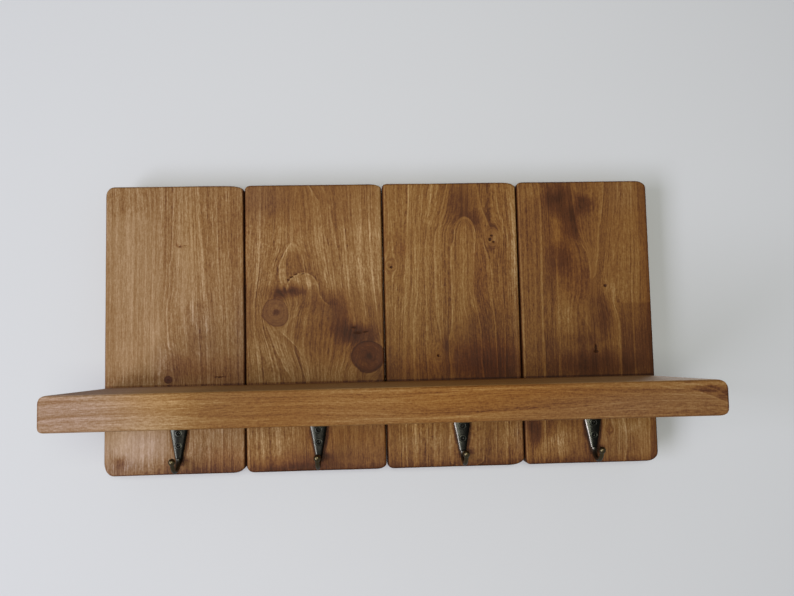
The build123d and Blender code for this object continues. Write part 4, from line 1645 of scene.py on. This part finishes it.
def angle_setting(name, about, degrees):
    """A setting that holds an angle. Its default is in degrees."""
    return bpy.props.FloatProperty(
        name=name, description=about, default=math.radians(degrees),
        subtype="ANGLE", unit="ROTATION",
    )


def in_millimetres(settings):
    """A group's settings as plain numbers, with its lengths in millimetres."""
    numbers = {}
    for name in type(settings).__annotations__:
        value = getattr(settings, name)
        is_length = settings.bl_rna.properties[name].unit == "LENGTH"
        numbers[name] = value / MM if is_length else value
    return SimpleNamespace(**numbers)


class WallShelfWood(bpy.types.PropertyGroup):
    """Sizes of the wooden pieces."""

    board_arris: length_setting("Board arris", "Rounding of a board's front edges", 2.6, 0.2)
    back_arris: length_setting("Back arris", "Rounding of a board's back edges", 1.0, 0.1)
    shelf_arris: length_setting("Shelf arris", "Rounding of the shelf's edges", 2.2, 0.2)
    shelf_corner: length_setting("Shelf corner", "Rounding of the shelf's front corners", 2.0, 0.2)
    outline_drift: length_setting("Outline drift", "How uneven the hand-finished edges are", 0.35)
    face_wave: length_setting("Face wave", "How uneven the planed faces are", 0.15)


class WallShelfHook(bpy.types.PropertyGroup):
    """Sizes of the cast hooks."""

    plate_length: length_setting("Plate length", "Length of a hook's plate", 45.1, 10.0)
    head_radius: length_setting("Head radius", "Radius of the plate's wide end", 8.8, 1.0)
    tail_radius: length_setting("Tail radius", "Radius of the plate's narrow end", 3.1, 0.5)
    plate_edge: length_setting("Plate edge", "Thickness of the plate at its edge", 1.5, 0.2)
    plate_crown: length_setting("Plate crown", "Height of the plate's bevel", 3.0, 0.2)
    bevel_width: length_setting("Bevel width", "Width of the plate's rounded edge", 1.9, 0.2)
    face_crown: bpy.props.FloatProperty(
        name="Face crown", subtype="FACTOR", default=0.13, min=0.0, max=0.5,
        description="How far the plate's face falls off to its sides, as a share of its half width",
    )
    root_depth: length_setting("Root depth", "How far out the arm starts", 2.5)
    root_rise: length_setting("Root rise", "How far above the tail's middle the arm starts", 2.1)
    root_radius: length_setting("Root radius", "Thickening at the arm's root", 2.6)
    arm_radius: length_setting("Arm radius", "Radius of the arm", 2.5, 0.5)
    bend_radius: length_setting("Bend radius", "Radius of the arm's bend", 14.7, 3.0)
    bend_start: angle_setting("Bend start", "Angle of the bend at the plate, from straight down", -73.0)
    bend_end: angle_setting("Bend end", "Angle of the bend at the ball, from straight down", 76.0)
    ball_radius: length_setting("Ball radius", "Radius of the ball", 3.6, 0.5)
    casting_grain: length_setting("Casting grain", "Size of the faces of the cast skin", 0.28, 0.1)


class WallShelfStage(bpy.types.PropertyGroup):
    """The wall, the light and the camera."""

    wall_colour: bpy.props.FloatVectorProperty(
        name="Wall colour", description="Paint of the wall and floor",
        subtype="COLOR", size=3, default=shade(214, 216, 218),
    )
    camera_place: bpy.props.FloatVectorProperty(
        name="Camera place", description="Where the photographer stood",
        subtype="TRANSLATION", unit="LENGTH", size=3, default=(-0.02176, -0.84155, -0.13903),
    )
    camera_turn: bpy.props.FloatVectorProperty(
        name="Camera turn", description="Pitch, roll and turn of the camera", subtype="EULER",
        size=3, default=(math.radians(94.432), math.radians(1.292), math.radians(-2.546)),
    )
    focal_length: bpy.props.FloatProperty(
        name="Focal length", description="Lens, in millimetres for a 36 mm frame",
        default=34.718, min=1.0,
    )


class WALLSHELF_OT_back_boards(bpy.types.Operator):
    """Make the four stained back boards"""

    bl_idname = "wall_shelf.back_boards"
    bl_label = "Back Boards"

    def execute(self, context):
        wood = in_millimetres(context.scene.wall_shelf_wood)
        for index in range(BOARD_COUNT):
            make_back_board(index, wood)
        return {"FINISHED"}


class WALLSHELF_OT_shelf_board(bpy.types.Operator):
    """Make the thick shelf board"""

    bl_idname = "wall_shelf.shelf_board"
    bl_label = "Shelf Board"

    def execute(self, context):
        make_shelf_board(in_millimetres(context.scene.wall_shelf_wood))
        return {"FINISHED"}


class WALLSHELF_OT_hooks(bpy.types.Operator):
    """Make the four cast hooks and their screws"""

    bl_idname = "wall_shelf.hooks"
    bl_label = "Hooks"

    def execute(self, context):
        make_hooks(in_millimetres(context.scene.wall_shelf_hook))
        make_hook_screws(steel_finish("blackened_steel", BLACKENED_SHADES, 0.26, rim_highlight=True))
        return {"FINISHED"}


class WALLSHELF_OT_back_hardware(bpy.types.Operator):
    """Finish the battens, the hanger plates and the screws behind the boards"""

    bl_idname = "wall_shelf.back_hardware"
    bl_label = "Back Hardware"

    def execute(self, context):
        pine = batten_finish()
        zinc = steel_finish("zinc_steel", ZINC_SHADES, 0.25)
        yellow = steel_finish("yellow_zinc", YELLOW_ZINC_SHADES, 0.25)
        dress_nodes("upper_batten", pine, yellow)
        dress_nodes("lower_batten", pine, yellow)
        dress_nodes("keyhole_plate", zinc, yellow)
        dress_nodes("shelf_screw", yellow, yellow)
        return {"FINISHED"}


class WALLSHELF_OT_stage(bpy.types.Operator):
    """Put up the plain wall and floor, the soft light and the camera"""

    bl_idname = "wall_shelf.stage"
    bl_label = "Stage"

    def execute(self, context):
        stage = context.scene.wall_shelf_stage
        paint = wall_finish(stage.wall_colour)
        left, right = -STAGE_HALF_WIDTH, STAGE_HALF_WIDTH
        foot_left = (left, WALL_BEHIND, FLOOR_HEIGHT)
        foot_right = (right, WALL_BEHIND, FLOOR_HEIGHT)
        head = [(right, WALL_BEHIND, WALL_TOP), (left, WALL_BEHIND, WALL_TOP)]
        front = [(left, FLOOR_FRONT, FLOOR_HEIGHT), (right, FLOOR_FRONT, FLOOR_HEIGHT)]
        make_plane("wall", [foot_left, foot_right, *head], paint)
        make_plane("floor", [*front, foot_right, foot_left], paint)
        for lamp in LAMPS:
            make_lamp(lamp)
        world = bpy.data.worlds.new("room")
        world.use_nodes = True
        inputs = world.node_tree.nodes["Background"].inputs
        inputs["Color"].default_value = rgba(WHITE)
        inputs["Strength"].default_value = ROOM_STRENGTH
        context.scene.world = world
        data = bpy.data.cameras.new("camera")
        data.sensor_width = 36.0
        data.lens = stage.focal_length
        camera = bpy.data.objects.new("camera", data)
        camera.location = stage.camera_place
        camera.rotation_euler = stage.camera_turn
        context.scene.collection.objects.link(camera)
        context.scene.camera = camera
        context.scene.view_settings.view_transform = "Standard"
        return {"FINISHED"}


OPERATORS = [
    WALLSHELF_OT_back_boards,
    WALLSHELF_OT_shelf_board,
    WALLSHELF_OT_hooks,
    WALLSHELF_OT_back_hardware,
    WALLSHELF_OT_stage,
]


class WALLSHELF_PT_panel(bpy.types.Panel):
    """Lists the pieces of the wall shelf"""

    bl_idname = "WALLSHELF_PT_panel"
    bl_label = "Wall Shelf"
    bl_space_type = "VIEW_3D"
    bl_region_type = "UI"
    bl_category = "Wall Shelf"

    def draw(self, context):
        for operator in OPERATORS:
            self.layout.operator(operator.bl_idname)


CLASSES = [WallShelfWood, WallShelfHook, WallShelfStage, *OPERATORS, WALLSHELF_PT_panel]


def register():
    """Register the classes and hang their settings on the scene."""
    for cls in CLASSES:
        bpy.utils.register_class(cls)
    bpy.types.Scene.wall_shelf_wood = bpy.props.PointerProperty(type=WallShelfWood)
    bpy.types.Scene.wall_shelf_hook = bpy.props.PointerProperty(type=WallShelfHook)
    bpy.types.Scene.wall_shelf_stage = bpy.props.PointerProperty(type=WallShelfStage)


def unregister():
    """Take the settings and classes away again."""
    del bpy.types.Scene.wall_shelf_stage
    del bpy.types.Scene.wall_shelf_hook
    del bpy.types.Scene.wall_shelf_wood
    for cls in reversed(CLASSES):
        bpy.utils.unregister_class(cls)


def main():
    """Make every piece in order."""
    register()
    bpy.ops.wall_shelf.back_boards()
    bpy.ops.wall_shelf.shelf_board()
    bpy.ops.wall_shelf.hooks()
    bpy.ops.wall_shelf.back_hardware()
    bpy.ops.wall_shelf.stage()


if __name__ == "__main__":
    main()
